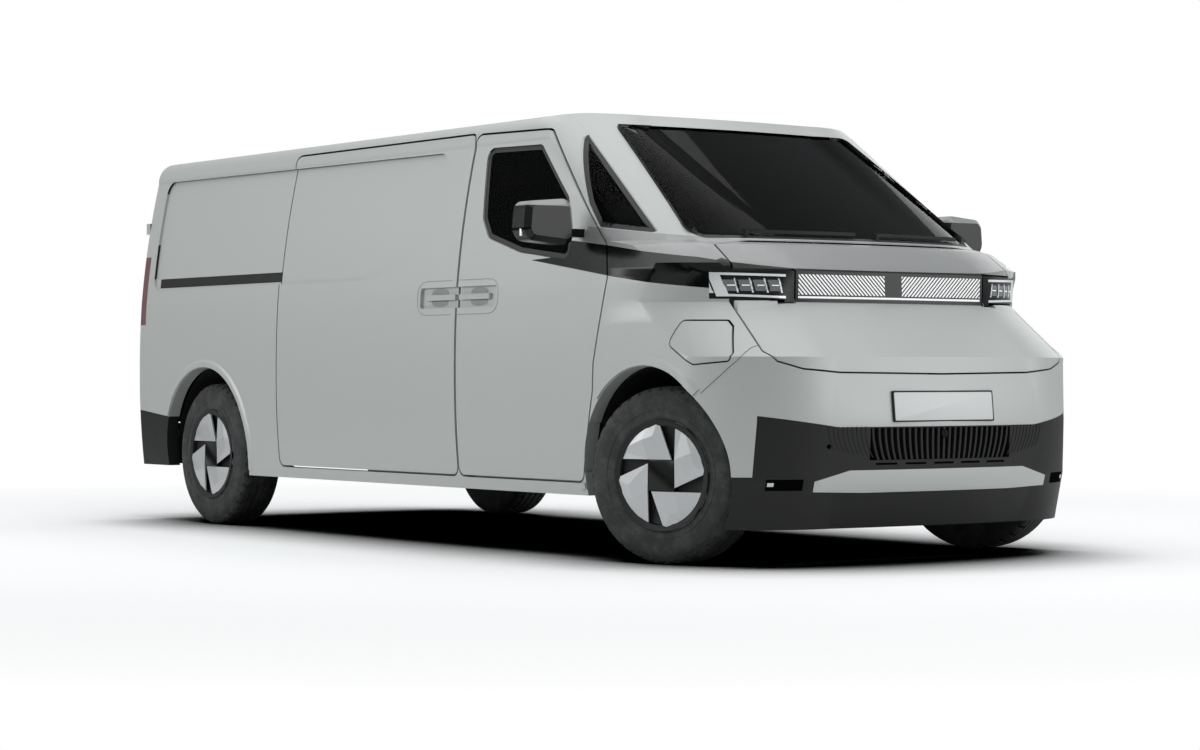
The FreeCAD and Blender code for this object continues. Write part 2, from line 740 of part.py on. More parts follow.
def fixed_glass():
    """Windscreen and the two small windows beside it."""
    screen = front_prism(WINDSCREEN_SHARES, windscreen_start, far, size("window_radius"), -size("fit_gap"))
    panes = [main_solid(glass_layer.common(screen))]
    for side, _ in SIDES:
        panes.append(main_solid(glass_layer.common(quarter_form(side, -size("fit_gap")))))
    return Part.Compound(panes)


def charge_flap():
    """Thin lid in the right front wing."""
    form = side_prism(FLAP_SHARES, -1, size("flap_radius"), -size("panel_gap") / 2)
    return main_solid(outer.cut(envelope(size("flap_thickness"), True)).common(form))


def charge_socket():
    """Plate behind the lid with a round socket."""
    form = side_prism(FLAP_SHARES, -1, size("flap_radius"), size("panel_gap") / 2 - size("fit_gap"))
    plate = main_solid(envelope(size("socket_setback")).cut(envelope(size("wall"))).common(form))
    spot = plate.CenterOfMass
    boss = rod(size("socket_radius"), spot, ACROSS * -(size("socket_length") + size("bore_clearance")))
    bore = rod(size("socket_radius") * 3 / 4, spot, ACROSS * -size("wall"))
    return main_solid(plate.fuse(boss).cut(bore))


def rear_door(side):
    """One rear door, half the tail's breadth, with its hinge leaves."""
    form = front_prism(REAR_DOOR_SHARES, -far, tail_x + size("wall"), size("door_radius"), -size("panel_gap"))
    door = shell.common(form).common(block(-far, far, side * size("rear_door_gap") / 2, side * far, 0, far))
    return main_solid(main_solid(door).fuse(hinge_leaves(side)))


def rear_bumper():
    """Step bumper across the tail, wrapped round both corners."""
    step = outer.cut(envelope(size("wall"))).common(step_zone)
    return main_solid(step.cut(arches + [slab(0, step_low), rear_hole]))


def mirror(side):
    """Door mirror: a housing with a rounded outline on its arm, and a glass set into its back."""
    start = Vector(front_axle - size("mirror_setback"), 0, 0)
    points = []
    for aside, up in MIRROR_SHARES:
        points.append(start + ACROSS * (size("mirror_aside") + aside * size("mirror_breadth"))
                      + UP * (size("mirror_bottom") + up * size("mirror_height")))
    face = outline_face(points, size("mirror_radius"), 0)
    housing = face.extrude(ALONG * size("mirror_depth"))
    front_edges = [edge for edge in housing.Edges if edge.BoundBox.XMin > start.x + size("mirror_depth") / 2]
    housing = housing.makeChamfer(size("mirror_radius") / 2, front_edges)
    glass_seat = face.makeOffset2D(-size("mirror_rim") / 2).extrude(ALONG * size("mirror_rim") / 2)
    housing = housing.cut(glass_seat)
    arm_low = size("mirror_bottom") + size("mirror_arm")
    arm = block(start.x + size("mirror_arm"), start.x + 2 * size("mirror_arm"), half_width / 2,
                size("mirror_aside") + size("mirror_arm"), arm_low, arm_low + size("mirror_arm"))
    shape = housing.fuse(main_solid(arm.cut(nose_and_hull)))
    if side < 0:
        shape = shape.mirror(CENTRE, ACROSS)
    return shape


nose_and_hull = outer
for side, hand in SIDES:
    node(f"side_wall_{hand}", side_wall(side))
    node(f"front_door_{hand}", front_door(side))
    node(f"front_door_glass_{hand}", front_glass(side))
    node(f"rear_door_{hand}", rear_door(side))
    node(f"mirror_{hand}", mirror(side))
node("roof", roof_panel())
node("sliding_door", sliding_door())
node("slide_rail", slide_rail())
node("fixed_glass", fixed_glass())
node("charge_flap", charge_flap())
node("charge_socket", charge_socket())
node("rear_bumper", rear_bumper())
node("tail_lamps", Part.Compound([main_solid(tail_lamp(side, 0)) for side, _ in SIDES]))


def wiper(start_share, end_share):
    """Blade along the foot of the windscreen, with an arm from its pivot on the cowl."""
    low = size("wiper_rise")
    broad = size("wiper_breadth")
    steps = 4
    front = []
    back = []
    for index in range(steps + 1):
        y = (start_share + (end_share - start_share) * index / steps) * half_width
        x = skin_x(y, low) + size("bore_clearance") * 2
        front.append(Vector(x + broad, y, low))
        back.append(Vector(x, y, low))
    blade = outline_face(front + back[::-1], 0, 0).extrude(UP * size("wiper_height"))
    pivot_y = end_share * half_width
    spot = Vector(skin_x(pivot_y, low) + broad / 2, pivot_y, low - size("wiper_drop"))
    pivot = rod(size("wiper_pivot_radius"), spot, UP * (size("wiper_drop") + size("wiper_height")))
    return main_solid(blade.fuse(pivot).cut(outer))


wiper_shares = ((0.62, 0.10), (-0.02, -0.56))
node("wipers", Part.Compound([wiper(*ends) for ends in wiper_shares]))


def wheel_place(x, side, steered):
    """Place of a wheel: its own axis along Y, turned for the parked steering."""
    turn = Rotation(UP, size("parked_steer") if steered else 0)
    offset = ACROSS * side * (wheel_centre - kingpin)
    facing = Rotation(UP, 0 if side > 0 else 180)
    return Placement(Vector(x, side * kingpin, axle_height) + turn.multVec(offset), turn.multiply(facing))


TYRE_CORNERS = (
    ("Sizes.rim_radius", "-Sizes.tyre_width / 2"),
    ("Sizes.tyre_radius", "-Sizes.tyre_width / 2"),
    ("Sizes.tyre_radius", "Sizes.tyre_width / 2 - Sizes.tyre_shoulder"),
    ("Sizes.tyre_radius - Sizes.tyre_shoulder_rise", "Sizes.tyre_width / 2"),
    ("Sizes.rim_radius", "Sizes.tyre_width / 2"),
)
RIM_BACK = "Sizes.tyre_width / 2 + Sizes.cover_stand - Sizes.cover_thickness"
RIM_BORE = "Sizes.spindle_radius + Sizes.bore_clearance"
RIM_CORNERS = (
    ("Sizes.rim_radius - Sizes.rim_lip", "-Sizes.tyre_width / 2"),
    ("Sizes.rim_radius - Sizes.fit_gap", "-Sizes.tyre_width / 2"),
    ("Sizes.rim_radius - Sizes.fit_gap", "Sizes.tyre_width / 2 + Sizes.fit_gap"),
    ("Sizes.cover_radius", "Sizes.tyre_width / 2 + Sizes.fit_gap"),
    ("Sizes.cover_radius", "Sizes.tyre_width / 2 + Sizes.cover_stand"),
    (RIM_BORE, "Sizes.tyre_width / 2 + Sizes.cover_stand"),
    (RIM_BORE, RIM_BACK),
    ("Sizes.rim_radius - Sizes.rim_lip", RIM_BACK),
)
SLOT_CORNERS = (
    ("-Sizes.cover_hub_half", "Sizes.cover_slot_start"),
    ("-Sizes.cover_hub_half", "Sizes.cover_slot_end"),
    ("Sizes.cover_slot_broad - Sizes.cover_hub_half", "Sizes.cover_slot_end"),
    ("Sizes.cover_slot_narrow - Sizes.cover_hub_half", "Sizes.cover_slot_start"),
)
blade_count = 4
for name, x, side in (("front_left", front_axle, 1), ("front_right", front_axle, -1),
                      ("rear_left", rear_axle, 1), ("rear_right", rear_axle, -1)):
    spot = wheel_place(x, side, x == front_axle)
    tyre = turned_body(f"tyre_{name}", TYRE_CORNERS)
    tyre.Placement = spot
    wheel = turned_body(f"wheel_{name}", RIM_CORNERS)
    slot_sketch = outline_sketch(wheel, f"wheel_{name}_slot", "XZ_Plane", SLOT_CORNERS)
    slot = wheel.newObject("PartDesign::Pocket", f"wheel_{name}_cut")
    slot.Profile = slot_sketch
    slot.SideType = "Symmetric"
    slot.Type = "ThroughAll"
    doc.recompute()
    ring = wheel.newObject("PartDesign::PolarPattern", f"wheel_{name}_slots")
    ring.Originals = [slot]
    ring.Axis = (slot_sketch, ["N_Axis"])
    ring.Angle = 360
    ring.Occurrences = blade_count
    wheel.Tip = ring
    wheel.Placement = spot
    pieces += [tyre, wheel]

disc_back = worked_out(RIM_BACK)


def knuckle(side):
    """Steering knuckle inside the rim: an upright with its hub and spindle."""
    half = size("knuckle_thickness") / 2
    tall = size("knuckle_height") / 2
    broad = size("knuckle_breadth") / 2
    offset = wheel_centre - kingpin
    upright = block(-broad, broad, -half, half, -tall, tall)
    hub = rod(size("hub_radius"), CENTRE, ACROSS * side * (offset + disc_back - size("fit_gap")))
    spindle = rod(size("spindle_radius"), CENTRE, ACROSS * side * (offset + disc_back + size("cover_thickness") / 2))
    return upright.fuse([hub, spindle])


def front_subframe():
    """Cross member with a lower arm to each knuckle and four posts up to the floor."""
    low = axle_height - size("knuckle_height") / 2 - size("arm_thickness") - size("fit_gap")
    half = size("subframe_breadth") / 2
    deep = size("subframe_length") / 2
    arm = size("arm_breadth") / 2
    post_radius = size("mount_post_radius")
    shapes = []
    for side, _ in SIDES:
        shapes.append(block(front_axle - arm, front_axle + arm, side * (half - 2 * arm),
                            side * (kingpin + arm / 2), low, low + size("arm_thickness")))
        for x in (front_axle - deep + post_radius, front_axle + deep - post_radius):
            foot = Vector(x, side * (half - 3 * post_radius), low)
            shapes.append(rod(post_radius, foot, UP * (floor_under - low)))
    frame = block(front_axle - deep, front_axle + deep, -half, half, low, low + size("subframe_height"))
    return frame.fuse(shapes)


def rear_axle_beam():
    """Trailing-arm axle: a cross tube, two arms with hubs, and brackets up to the floor."""
    inner_face = wheel_centre - size("tyre_width") / 2 - size("rim_lip")
    arm = size("trailing_arm_breadth")
    half = size("arm_breadth") / 2
    cross_x = rear_axle + size("trailing_arm_length")
    tube_half = inner_face - arm / 2
    tube = rod(size("rear_beam_radius"), Vector(cross_x, -tube_half, axle_height), ACROSS * 2 * tube_half)
    shapes = []
    for side, _ in SIDES:
        shapes.append(block(rear_axle - 2 * half, cross_x + size("rear_beam_radius"), side * (inner_face - arm),
                            side * inner_face, axle_height - half, axle_height + half))
        base = Vector(rear_axle, side * (inner_face - arm / 2), axle_height)
        hub_end = wheel_centre + disc_back - size("fit_gap")
        pin_end = wheel_centre + disc_back + size("cover_thickness") / 2
        shapes.append(rod(size("hub_radius"), base, ACROSS * side * (hub_end - abs(base.y))))
        shapes.append(rod(size("spindle_radius"), base, ACROSS * side * (pin_end - abs(base.y))))
        bracket_y = side * (inner_face - 2 * arm)
        shapes.append(block(cross_x - 2 * half, cross_x + 2 * half, bracket_y - half, bracket_y + half,
                            axle_height, floor_under))
    return tube.fuse(shapes)


for side, hand in SIDES:
    pivot = Placement(Vector(front_axle, side * kingpin, axle_height), Rotation(UP, size("parked_steer")))
    node(f"knuckle_{hand}", knuckle(side), pivot)
node("front_subframe", front_subframe())
node("rear_axle", rear_axle_beam())

floor_edge = half_width - size("wall") - size("floor_edge_gap")
housing_space = envelope(size("wall") + size("housing_gap"))


def housing(x, side):
    """Half-round wheel housing with a flat inner wall."""
    wall = size("housing_wall")
    deep = size("housing_depth")
    inside = floor_edge - deep
    outside = rod(size("arch_radius") + wall, Vector(x, side * inside, arch_height), ACROSS * side * deep)
    hollow = rod(size("arch_radius"), Vector(x, side * (inside + wall), arch_height), ACROSS * side * deep)
    return outside.cut([hollow, slab(-reach, floor_under)]).common(housing_space)


def floor_panels():
    """Load floor and cab floor, cut round the wheel housings."""
    clear = size("arch_radius") + size("housing_wall") + size("bore_clearance")
    inside = floor_edge - size("housing_depth") - size("bore_clearance")
    cuts = []
    for x in (front_axle, rear_axle):
        for side, _ in SIDES:
            cuts.append(rod(clear, Vector(x, side * inside, arch_height), ACROSS * side * far))
    rear_start = tail_x + size("rear_bumper_depth") + size("fit_gap")
    split = partition_x - size("bulkhead_thickness") - size("fit_gap")
    front_end = front_axle + size("subframe_length") / 2
    load = block(rear_start, split, -floor_edge, floor_edge, floor_under, floor_top)
    cab = block(split + size("fit_gap"), front_end, -floor_edge, floor_edge, floor_under, floor_top)
    return Part.Compound([load.cut(cuts), cab.cut(cuts)])


def bulkheads():
    """Partition behind the seats and the firewall ahead of the dashboard."""
    thick = size("bulkhead_thickness")
    half = size("firewall_breadth") / 2
    partition = cabin.common(block(partition_x - thick, partition_x, -far, far, floor_top, far))
    firewall = cabin.common(block(firewall_x - thick, firewall_x, -half, half, floor_top, size("firewall_top")))
    return Part.Compound([partition, firewall])


node("wheel_housings", Part.Compound([housing(x, side) for x in (front_axle, rear_axle) for side, _ in SIDES]))
node("floor", floor_panels())
node("bulkheads", bulkheads())

FRONT_AXLE = "((Sizes.wheelbase + Sizes.rear_overhang - Sizes.front_overhang) / 2)"
battery = bound(
    "Part::Box", "battery_pack", Length="Sizes.battery_length", Width="Sizes.battery_breadth",
    Height="Sizes.battery_height", Placement_Base_x=FRONT_AXLE + " - Sizes.battery_setback",
    Placement_Base_y="-Sizes.battery_breadth / 2",
    Placement_Base_z="Sizes.floor_height - Sizes.floor_thickness - Sizes.battery_height")
drive = bound(
    "Part::Box", "drive_unit", Length="Sizes.drive_length", Width="Sizes.drive_breadth",
    Height="Sizes.drive_height", Placement_Base_x=FRONT_AXLE + " - Sizes.drive_length / 3",
    Placement_Base_y="-Sizes.drive_breadth / 2", Placement_Base_z="Sizes.floor_height")
pieces += [battery, drive]


def seat_sets():
    """Two seats: base boxes in one sub-part, cushions, backs and head rests in the other."""
    seat_x = FRONT_AXLE + " - Sizes.seat_setback - Sizes.seat_length / 2"
    cushion_z = "Sizes.floor_height + Sizes.seat_base_height + Sizes.fit_gap"
    back_z = cushion_z + " + Sizes.seat_cushion_height + Sizes.fit_gap"
    bases = []
    soft = []
    for side, hand in SIDES:
        seat_y = f"{side} * Sizes.seat_offset - Sizes.seat_breadth / 2"
        rest_y = f"{side} * Sizes.seat_offset - Sizes.head_rest_breadth / 2"
        bases.append(bound(
            "Part::Box", f"seat_base_{hand}", Length="Sizes.seat_length",
            Width="Sizes.seat_breadth - 2 * Sizes.seat_base_inset", Height="Sizes.seat_base_height",
            Placement_Base_x=seat_x, Placement_Base_y=seat_y + " + Sizes.seat_base_inset",
            Placement_Base_z="Sizes.floor_height"))
        soft.append(bound(
            "Part::Box", f"seat_cushion_{hand}", Length="Sizes.seat_length", Width="Sizes.seat_breadth",
            Height="Sizes.seat_cushion_height", Placement_Base_x=seat_x, Placement_Base_y=seat_y,
            Placement_Base_z=cushion_z))
        back = bound(
            "Part::Box", f"seat_back_{hand}", Length="Sizes.seat_back_thickness", Width="Sizes.seat_breadth",
            Height="Sizes.seat_back_height")
        rest = bound(
            "Part::Box", f"head_rest_{hand}", Length="Sizes.head_rest_thickness", Width="Sizes.head_rest_breadth",
            Height="Sizes.head_rest_height")
        lean = Rotation(ACROSS, -size("seat_back_lean"))
        foot = Vector(worked_out(seat_x) + size("seat_back_thickness") / 4, worked_out(seat_y), worked_out(back_z))
        back.Placement = Placement(foot, lean)
        rise = lean.multVec(UP * (size("seat_back_height") + size("fit_gap")))
        rest.Placement = Placement(Vector(foot.x, worked_out(rest_y), foot.z) + rise, lean)
        soft += [back, rest]
    return [joined("Part::Compound", "seat_bases", bases), joined("Part::Compound", "seat_cushions", soft)]


pieces += seat_sets()


def dashboard():
    """Dashboard across the cab with a sloped face and a hole for the column."""
    body = doc.addObject("PartDesign::Body", "dash_body")
    section = outline_sketch(body, "dash_section", "XZ_Plane", (
        ("0", "0"), ("-Sizes.dash_depth + Sizes.dash_slope", "0"),
        ("-Sizes.dash_depth", "-Sizes.dash_slope"), ("-Sizes.dash_depth", "-Sizes.dash_height + Sizes.dash_slope / 2"),
        ("-Sizes.dash_depth + Sizes.dash_slope", "-Sizes.dash_height"), ("0", "-Sizes.dash_height")))
    pad = body.newObject("PartDesign::Pad", "dash_pad")
    pad.Profile = section
    pad.SideType = "Symmetric"
    pad.setExpression("Length", "Sizes.dash_breadth")
    front = firewall_x - size("bulkhead_thickness") - size("fit_gap")
    body.Placement = Placement(Vector(front, 0, size("dash_top")), Rotation())
    hole = bound("Part::Cylinder", "column_hole", Radius="Sizes.column_radius + Sizes.bore_clearance",
                 Height="2 * Sizes.column_length")
    hole.Placement = steering_place.multiply(Placement(UP * -2 * size("column_length"), Rotation()))
    dash = doc.addObject("Part::Cut", "dashboard")
    dash.Label = "dashboard"
    dash.Base = body
    dash.Tool = hole
    return dash


def steering_wheel():
    """Ring of square section with a hub, three spokes and its column."""
    outside = bound("Part::Cylinder", "ring_outside", Radius="Sizes.steering_radius", Height="Sizes.steering_rim")
    inside = bound("Part::Cylinder", "ring_inside", Radius="Sizes.steering_radius - Sizes.steering_rim",
                   Height="Sizes.steering_rim")
    ring = doc.addObject("Part::Cut", "steering_ring")
    ring.Base = outside
    ring.Tool = inside
    hub = bound("Part::Cylinder", "steering_hub", Radius="Sizes.hub_radius", Height="Sizes.steering_rim")
    column = bound("Part::Cylinder", "steering_column", Radius="Sizes.column_radius",
                   Height="Sizes.column_length + Sizes.steering_rim / 2")
    column.setExpression("Placement.Base.z", "-Sizes.column_length")
    members = [ring, hub, column]
    for angle in (0, 90, 270):
        spoke = bound("Part::Box", f"spoke_{angle}", Width="Sizes.steering_spoke", Height="Sizes.steering_rim / 2",
                      Length="Sizes.steering_radius - Sizes.steering_rim / 2")
        turn = Rotation(UP, angle + 180)
        spoke.Placement = Placement(turn.multVec(ACROSS * -size("steering_spoke") / 2), turn)
        members.append(spoke)
    wheel = joined("Part::MultiFuse", "steering_wheel", members)
    wheel.Placement = steering_place
    return wheel


dash_back = firewall_x - size("bulkhead_thickness") - size("dash_depth")
steering_place = Placement(Vector(dash_back - size("steering_rim") * 3, size("seat_offset"), size("steering_rise")),
                           Rotation(ACROSS, -size("steering_lean")))
pieces += [dashboard(), steering_wheel()]
doc.recompute()


def check_and_write():
    """Check every object and write one file for each sub-part."""
    for item in doc.Objects:
        if "Invalid" in item.State or "Error" in item.State:
            raise RuntimeError(f"{item.Label}: {item.State}")
    for item in pieces:
        shape = item.Shape
        if shape.isNull() or not shape.isValid() or not shape.Solids:
            raise RuntimeError(f"{item.Label}: bad shape")
    for item in pieces:
        item.Shape.exportStep(f"parts/{item.Label}.step")
        box = item.Shape.BoundBox
        print(item.Label, len(item.Shape.Solids), round(item.Shape.Volume / 1e6, 1), box)


check_and_write()
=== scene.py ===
import json
import math
import bmesh
import bpy
from mathutils import Matrix, Vector
from mathutils.bvhtree import BVHTree


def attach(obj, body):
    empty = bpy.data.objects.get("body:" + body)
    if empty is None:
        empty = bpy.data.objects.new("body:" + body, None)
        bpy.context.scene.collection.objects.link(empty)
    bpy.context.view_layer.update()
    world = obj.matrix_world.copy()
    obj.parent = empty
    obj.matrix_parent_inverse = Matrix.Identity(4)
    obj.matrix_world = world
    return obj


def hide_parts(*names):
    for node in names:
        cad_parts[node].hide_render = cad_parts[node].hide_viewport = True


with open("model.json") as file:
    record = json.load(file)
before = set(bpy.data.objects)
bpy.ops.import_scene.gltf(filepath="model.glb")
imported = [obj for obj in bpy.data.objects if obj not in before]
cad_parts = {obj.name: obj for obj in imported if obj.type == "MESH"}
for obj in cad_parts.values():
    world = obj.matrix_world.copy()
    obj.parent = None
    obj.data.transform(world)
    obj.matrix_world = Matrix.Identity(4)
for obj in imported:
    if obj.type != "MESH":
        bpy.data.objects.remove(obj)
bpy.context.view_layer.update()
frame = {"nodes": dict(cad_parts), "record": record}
bodies = frame["record"]["behaviour"]["bodies"]
body_of = {node: body for body, nodes in bodies.items() for node in nodes}
sides = ((1, "left"), (-1, "right"))
backwards, forwards = Vector((-1, 0, 0)), Vector((1, 0, 0))
scene = bpy.context.scene
# Rays start this far ahead of or behind the van's middle, and beside it.
far_off, aside_off = 4, 2


def placed(name, data):
    """New object in the scene."""
    item = bpy.data.objects.new(name, data)
    scene.collection.objects.link(item)
    return item


# Studio: a pale floor under a white sky, and the camera at the height of the bonnet off the
# right front corner. Broad soft lamps stand above and beside the van.
camera_data = bpy.data.cameras.new("camera")
camera_data.lens = 83.9
camera_data.sensor_width = 36
camera = placed("camera", camera_data)
camera.location = (10.6345, -7.563, 0.750)
camera.rotation_euler = (math.radians(89.97), 0, math.radians(54.01))
scene.camera = camera
scene.view_settings.view_transform = "Standard"


def linear(code):
    """sRGB hex colour as linear RGBA."""
    parts = [int(code[index:index + 2], 16) / 255 for index in (1, 3, 5)]
    return tuple(c / 12.92 if c <= 0.04045 else ((c + 0.055) / 1.055) ** 2.4 for c in parts) + (1,)


def add(tree, kind, settings=(), links=()):
    """New node, with its sockets or properties set and its inputs linked."""
    item = tree.nodes.new(kind)
    for key, value in dict(settings).items():
        if isinstance(key, str) and hasattr(item, key):
            setattr(item, key, value)
        else:
            item.inputs[key].default_value = value
    for socket, output in links:
        tree.links.new(output, item.inputs[socket])
    return item


def finish_material(name):
    """Empty material with its nodes and its object coordinates."""
    material = bpy.data.materials.new(name)
    material.use_nodes = True
    tree = material.node_tree
    tree.nodes.clear()
    return material, tree, add(tree, "ShaderNodeTexCoord").outputs["Object"]


def ranged(tree, value, low, high, start=0, end=1):
    """Value carried over to another range."""
    settings = {"From Min": start, "From Max": end, "To Min": low, "To Max": high}
    return add(tree, "ShaderNodeMapRange", settings, [("Value", value)]).outputs[0]


def noise(tree, spot, scale, detail, **more):
    """Cloudy value."""
    settings = {"Scale": scale, "Detail": detail, **more}
    return add(tree, "ShaderNodeTexNoise", settings, [("Vector", spot)]).outputs["Fac"]


def cells(tree, spot, scale):
    """Value of fine cells."""
    item = add(tree, "ShaderNodeTexVoronoi", {"Scale": scale}, [("Vector", spot)])
    return item.outputs["Distance"]


def ripples(tree, spot, scale, way):
    """Even waves."""
    settings = {"Scale": scale, "bands_direction": way}
    return add(tree, "ShaderNodeTexWave", settings, [("Vector", spot)]).outputs["Fac"]


def bumped(tree, height, strength, distance):
    """Relief for a normal socket."""
    settings = {"Strength": strength, "Distance": distance}
    return add(tree, "ShaderNodeBump", settings, [("Height", height)]).outputs[0]


def toned(tree, code, value):
    """Colour whose brightness follows a value."""
    settings = {"Color": linear(code)}
    return add(tree, "ShaderNodeHueSaturation", settings, [("Value", value)]).outputs[0]


def blended(tree, value, dark, pale, start=0, end=1):
    """Colour between two others."""
    item = add(tree, "ShaderNodeValToRGB", {}, [("Fac", value)])
    for stop, place, code in zip(item.color_ramp.elements, (start, end), (dark, pale)):
        stop.position = place
        stop.color = linear(code)
    return item.outputs[0]


def mixed(tree, share, first, second):
    """Mix of two shaders."""
    links = [("Fac", share), (1, first.outputs[0]), (2, second.outputs[0])]
    return add(tree, "ShaderNodeMixShader", {}, links)


def ended(tree, shader, kind="Material"):
    """Leads a shader to the output."""
    add(tree, f"ShaderNodeOutput{kind}", {}, [("Surface", shader.outputs[0])])


def surfaced(tree, settings, links=()):
    """Ends a material in one opaque shader."""
    ended(tree, add(tree, "ShaderNodeBsdfPrincipled", settings, links))


def uneven(name, code, cloud, limits, settings=()):
    """One-colour material whose roughness wanders between limits."""
    material, tree, spot = finish_material(name)
    rough = ranged(tree, noise(tree, spot, *cloud), *limits)
    surfaced(tree, {"Base Color": linear(code), **dict(settings)}, [("Roughness", rough)])
    return material


floor_finish, tree, spot = finish_material("studio_floor_with_painted_shadow")
# Painted shadow: the floor's colour darkens where the van stands close over it, and the floor fades
# into the white far away.
near = add(tree, "ShaderNodeAmbientOcclusion", {"Distance": 0.9, "samples": 16}).outputs["AO"]
shade = ranged(tree, near, 0.0, 0.92, 0.42, 0.86)
matt = add(tree, "ShaderNodeBsdfDiffuse", {}, [("Color", shade)])
seen = add(tree, "ShaderNodeLightPath").outputs["Is Camera Ray"]
glow = add(tree, "ShaderNodeEmission", {"Color": (1, 1, 1, 1)}, [("Strength", seen)])
away = add(tree, "ShaderNodeVectorMath", {"operation": "LENGTH"}, [("Vector", spot)])
fade = ranged(tree, away.outputs["Value"], 0.0, 1.0, 4.2, 6.5)
ended(tree, mixed(tree, fade, matt, glow))

floor_half = 60
mesh = bmesh.new()
bmesh.ops.create_grid(mesh, x_segments=1, y_segments=1, size=floor_half)
floor_mesh = bpy.data.meshes.new("floor")
mesh.to_mesh(floor_mesh)
mesh.free()
floor_mesh.materials.append(floor_finish)
studio_floor = placed("studio_floor", floor_mesh)

world = bpy.data.worlds.new("white_sky")
scene.world = world
world.use_nodes = True
tree = world.node_tree
tree.nodes.clear()
ray = add(tree, "ShaderNodeLightPath")
seen = add(tree, "ShaderNodeMath", {"operation": "MAXIMUM"}, [
    (0, ray.outputs["Is Camera Ray"]), (1, ray.outputs["Is Transmission Ray"])])
sky = add(tree, "ShaderNodeBackground", {"Color": linear("#e8ecee"), "Strength": 0.55})
white = add(tree, "ShaderNodeBackground", {"Color": (1, 1, 1, 1), "Strength": 1})
ended(tree, mixed(tree, seen.outputs[0], sky, white), "World")

# Each lamp's name, place, target, breadth and length, and power.
lamps = (
    ("overhead", (0, 0, 7), (0, 0, 0), (12, 8), 400),
    ("right_side", (-4.0, -9.5, 4.2), (-1.2, 0, 0.9), (9, 4), 360),
    ("front", (10.5, 5.5, 3.2), (2, 0, 0.8), (9, 5), 345),
    ("left_side", (-1, 10, 4.5), (0, 0, 1), (12, 5), 240),
)
for name, place, target, extent, power in lamps:
    lamp = bpy.data.lights.new(name, "AREA")
    lamp.shape = "RECTANGLE"
    lamp.size, lamp.size_y = extent
    lamp.energy = power
    item = placed(name, lamp)
    item.location = place
    item.rotation_euler = (Vector(target) - Vector(place)).to_track_quat("-Z", "Y").to_euler()

# Lining: the inner faces of the cab and the load space carry dark moulded trim, on the same
# sheet as the paint outside.
trim, tree, spot = finish_material("dark_moulded_trim")
# Fine moulded grain.
relief = bumped(tree, cells(tree, spot, 400), 0.03, 0.0005)
surfaced(tree, {"Base Color": linear("#222324"), "Roughness": 0.7, "IOR": 1.3},
         [("Normal", relief)])

# Outer panels: pressed steel in pale silver grey paint under clear lacquer, meeting at narrow
# gaps. The belt across doors and walls is graphite, and the band under it gloss black.
paint, tree, spot = finish_material("silver_grey_lacquered_paint")
# Metal flake in the colour coat gives a faint sparkle, and lacquer flow a slight orange peel.
flake = ranged(tree, noise(tree, spot, 900, 1), 0.94, 1.04, 0.3, 0.7)
peel = bumped(tree, noise(tree, spot, 180, 2), 0.02, 0.001)
surfaced(tree, {"Metallic": 0.3, "Roughness": 0.48, "Coat Weight": 0.18, "Coat Roughness": 0.25,
                "IOR": 1.45}, [("Base Color", toned(tree, "#b4b7b5", flake)), ("Normal", peel)])

belt, tree, spot = finish_material("graphite_lacquered_paint")
# The same lacquer over a darker metallic coat.
flake = ranged(tree, noise(tree, spot, 900, 1), 0.9, 1.06, 0.3, 0.7)
surfaced(tree, {"Metallic": 0.35, "Roughness": 0.45, "Coat Weight": 0.3, "Coat Roughness": 0.22},
         [("Base Color", toned(tree, "#8f9090", flake))])

# Polished mould with a faint haze of fine scratches.
piano = uneven("gloss_black_moulded_plastic", "#0b0c0c", (60, 4), (0.10, 0.20),
               {"Specular IOR Level": 0.3})

front_axle_x, rear_axle_x, axle_rise = 1.8675, -1.7825, 0.350
# Seams of the belt panel and the band: distance ahead of the front axle, and height.
belt_top = ((-0.431, 1.347), (-0.317, 1.334), (0.117, 1.283), (0.300, 1.290))
belt_bottom = ((-0.560, 1.296), (-0.265, 1.262), (0.150, 1.206), (0.360, 1.158))
band_bottom = ((-0.720, 1.208), (-0.238, 1.138), (0.300, 1.071), (0.360, 1.035))
belt_end_x, belt_end_z = belt_top[0]
belt_end_normal = (0.059, 0, -0.034)
painted_skins = (paint, belt, piano, trim)
on_paint, on_belt, on_band, on_trim = range(4)


def height_on(line, x):
    """Height of a seam at one place along the van."""
    for (x0, z0), (x1, z1) in zip(line, line[1:]):
        if x < x1 or x1 == line[-1][0]:
            return z0 + (z1 - z0) * (x - x0) / (x1 - x0)


def copied(node):
    """Merged mesh of a CAD node."""
    mesh = bmesh.new()
    mesh.from_mesh(frame["nodes"][node].data)
    bmesh.ops.remove_doubles(mesh, verts=mesh.verts, dist=0.00002)
    return mesh


def shown(mesh, name, finishes, body="body", replaced=(), crease=28):
    """Makes a piece of a mesh, with sharp creases, on its body, and hides the nodes it replaces."""
    for face in mesh.faces:
        face.smooth = True
    for edge in mesh.edges:
        edge.smooth = len(edge.link_faces) == 2 and edge.calc_face_angle(0) < math.radians(crease)
    data = bpy.data.meshes.new(name)
    mesh.to_mesh(data)
    mesh.free()
    for finish in finishes:
        data.materials.append(finish)
    piece = placed(name, data)
    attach(piece, body)
    if replaced:
        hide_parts(*replaced)
    return piece


def dressed(mesh, node, suffix, finishes, crease=28):
    """Shows a mesh in place of the CAD node it was worked from."""
    return shown(mesh, f"{node}_{suffix}", finishes, body_of[node], (node,), crease)


def split(mesh, point, normal):
    """Cuts a mesh along a plane without removing either side."""
    everything = mesh.verts[:] + mesh.edges[:] + mesh.faces[:]
    bmesh.ops.bisect_plane(mesh, geom=everything, plane_co=point, plane_no=normal, dist=0.00001)


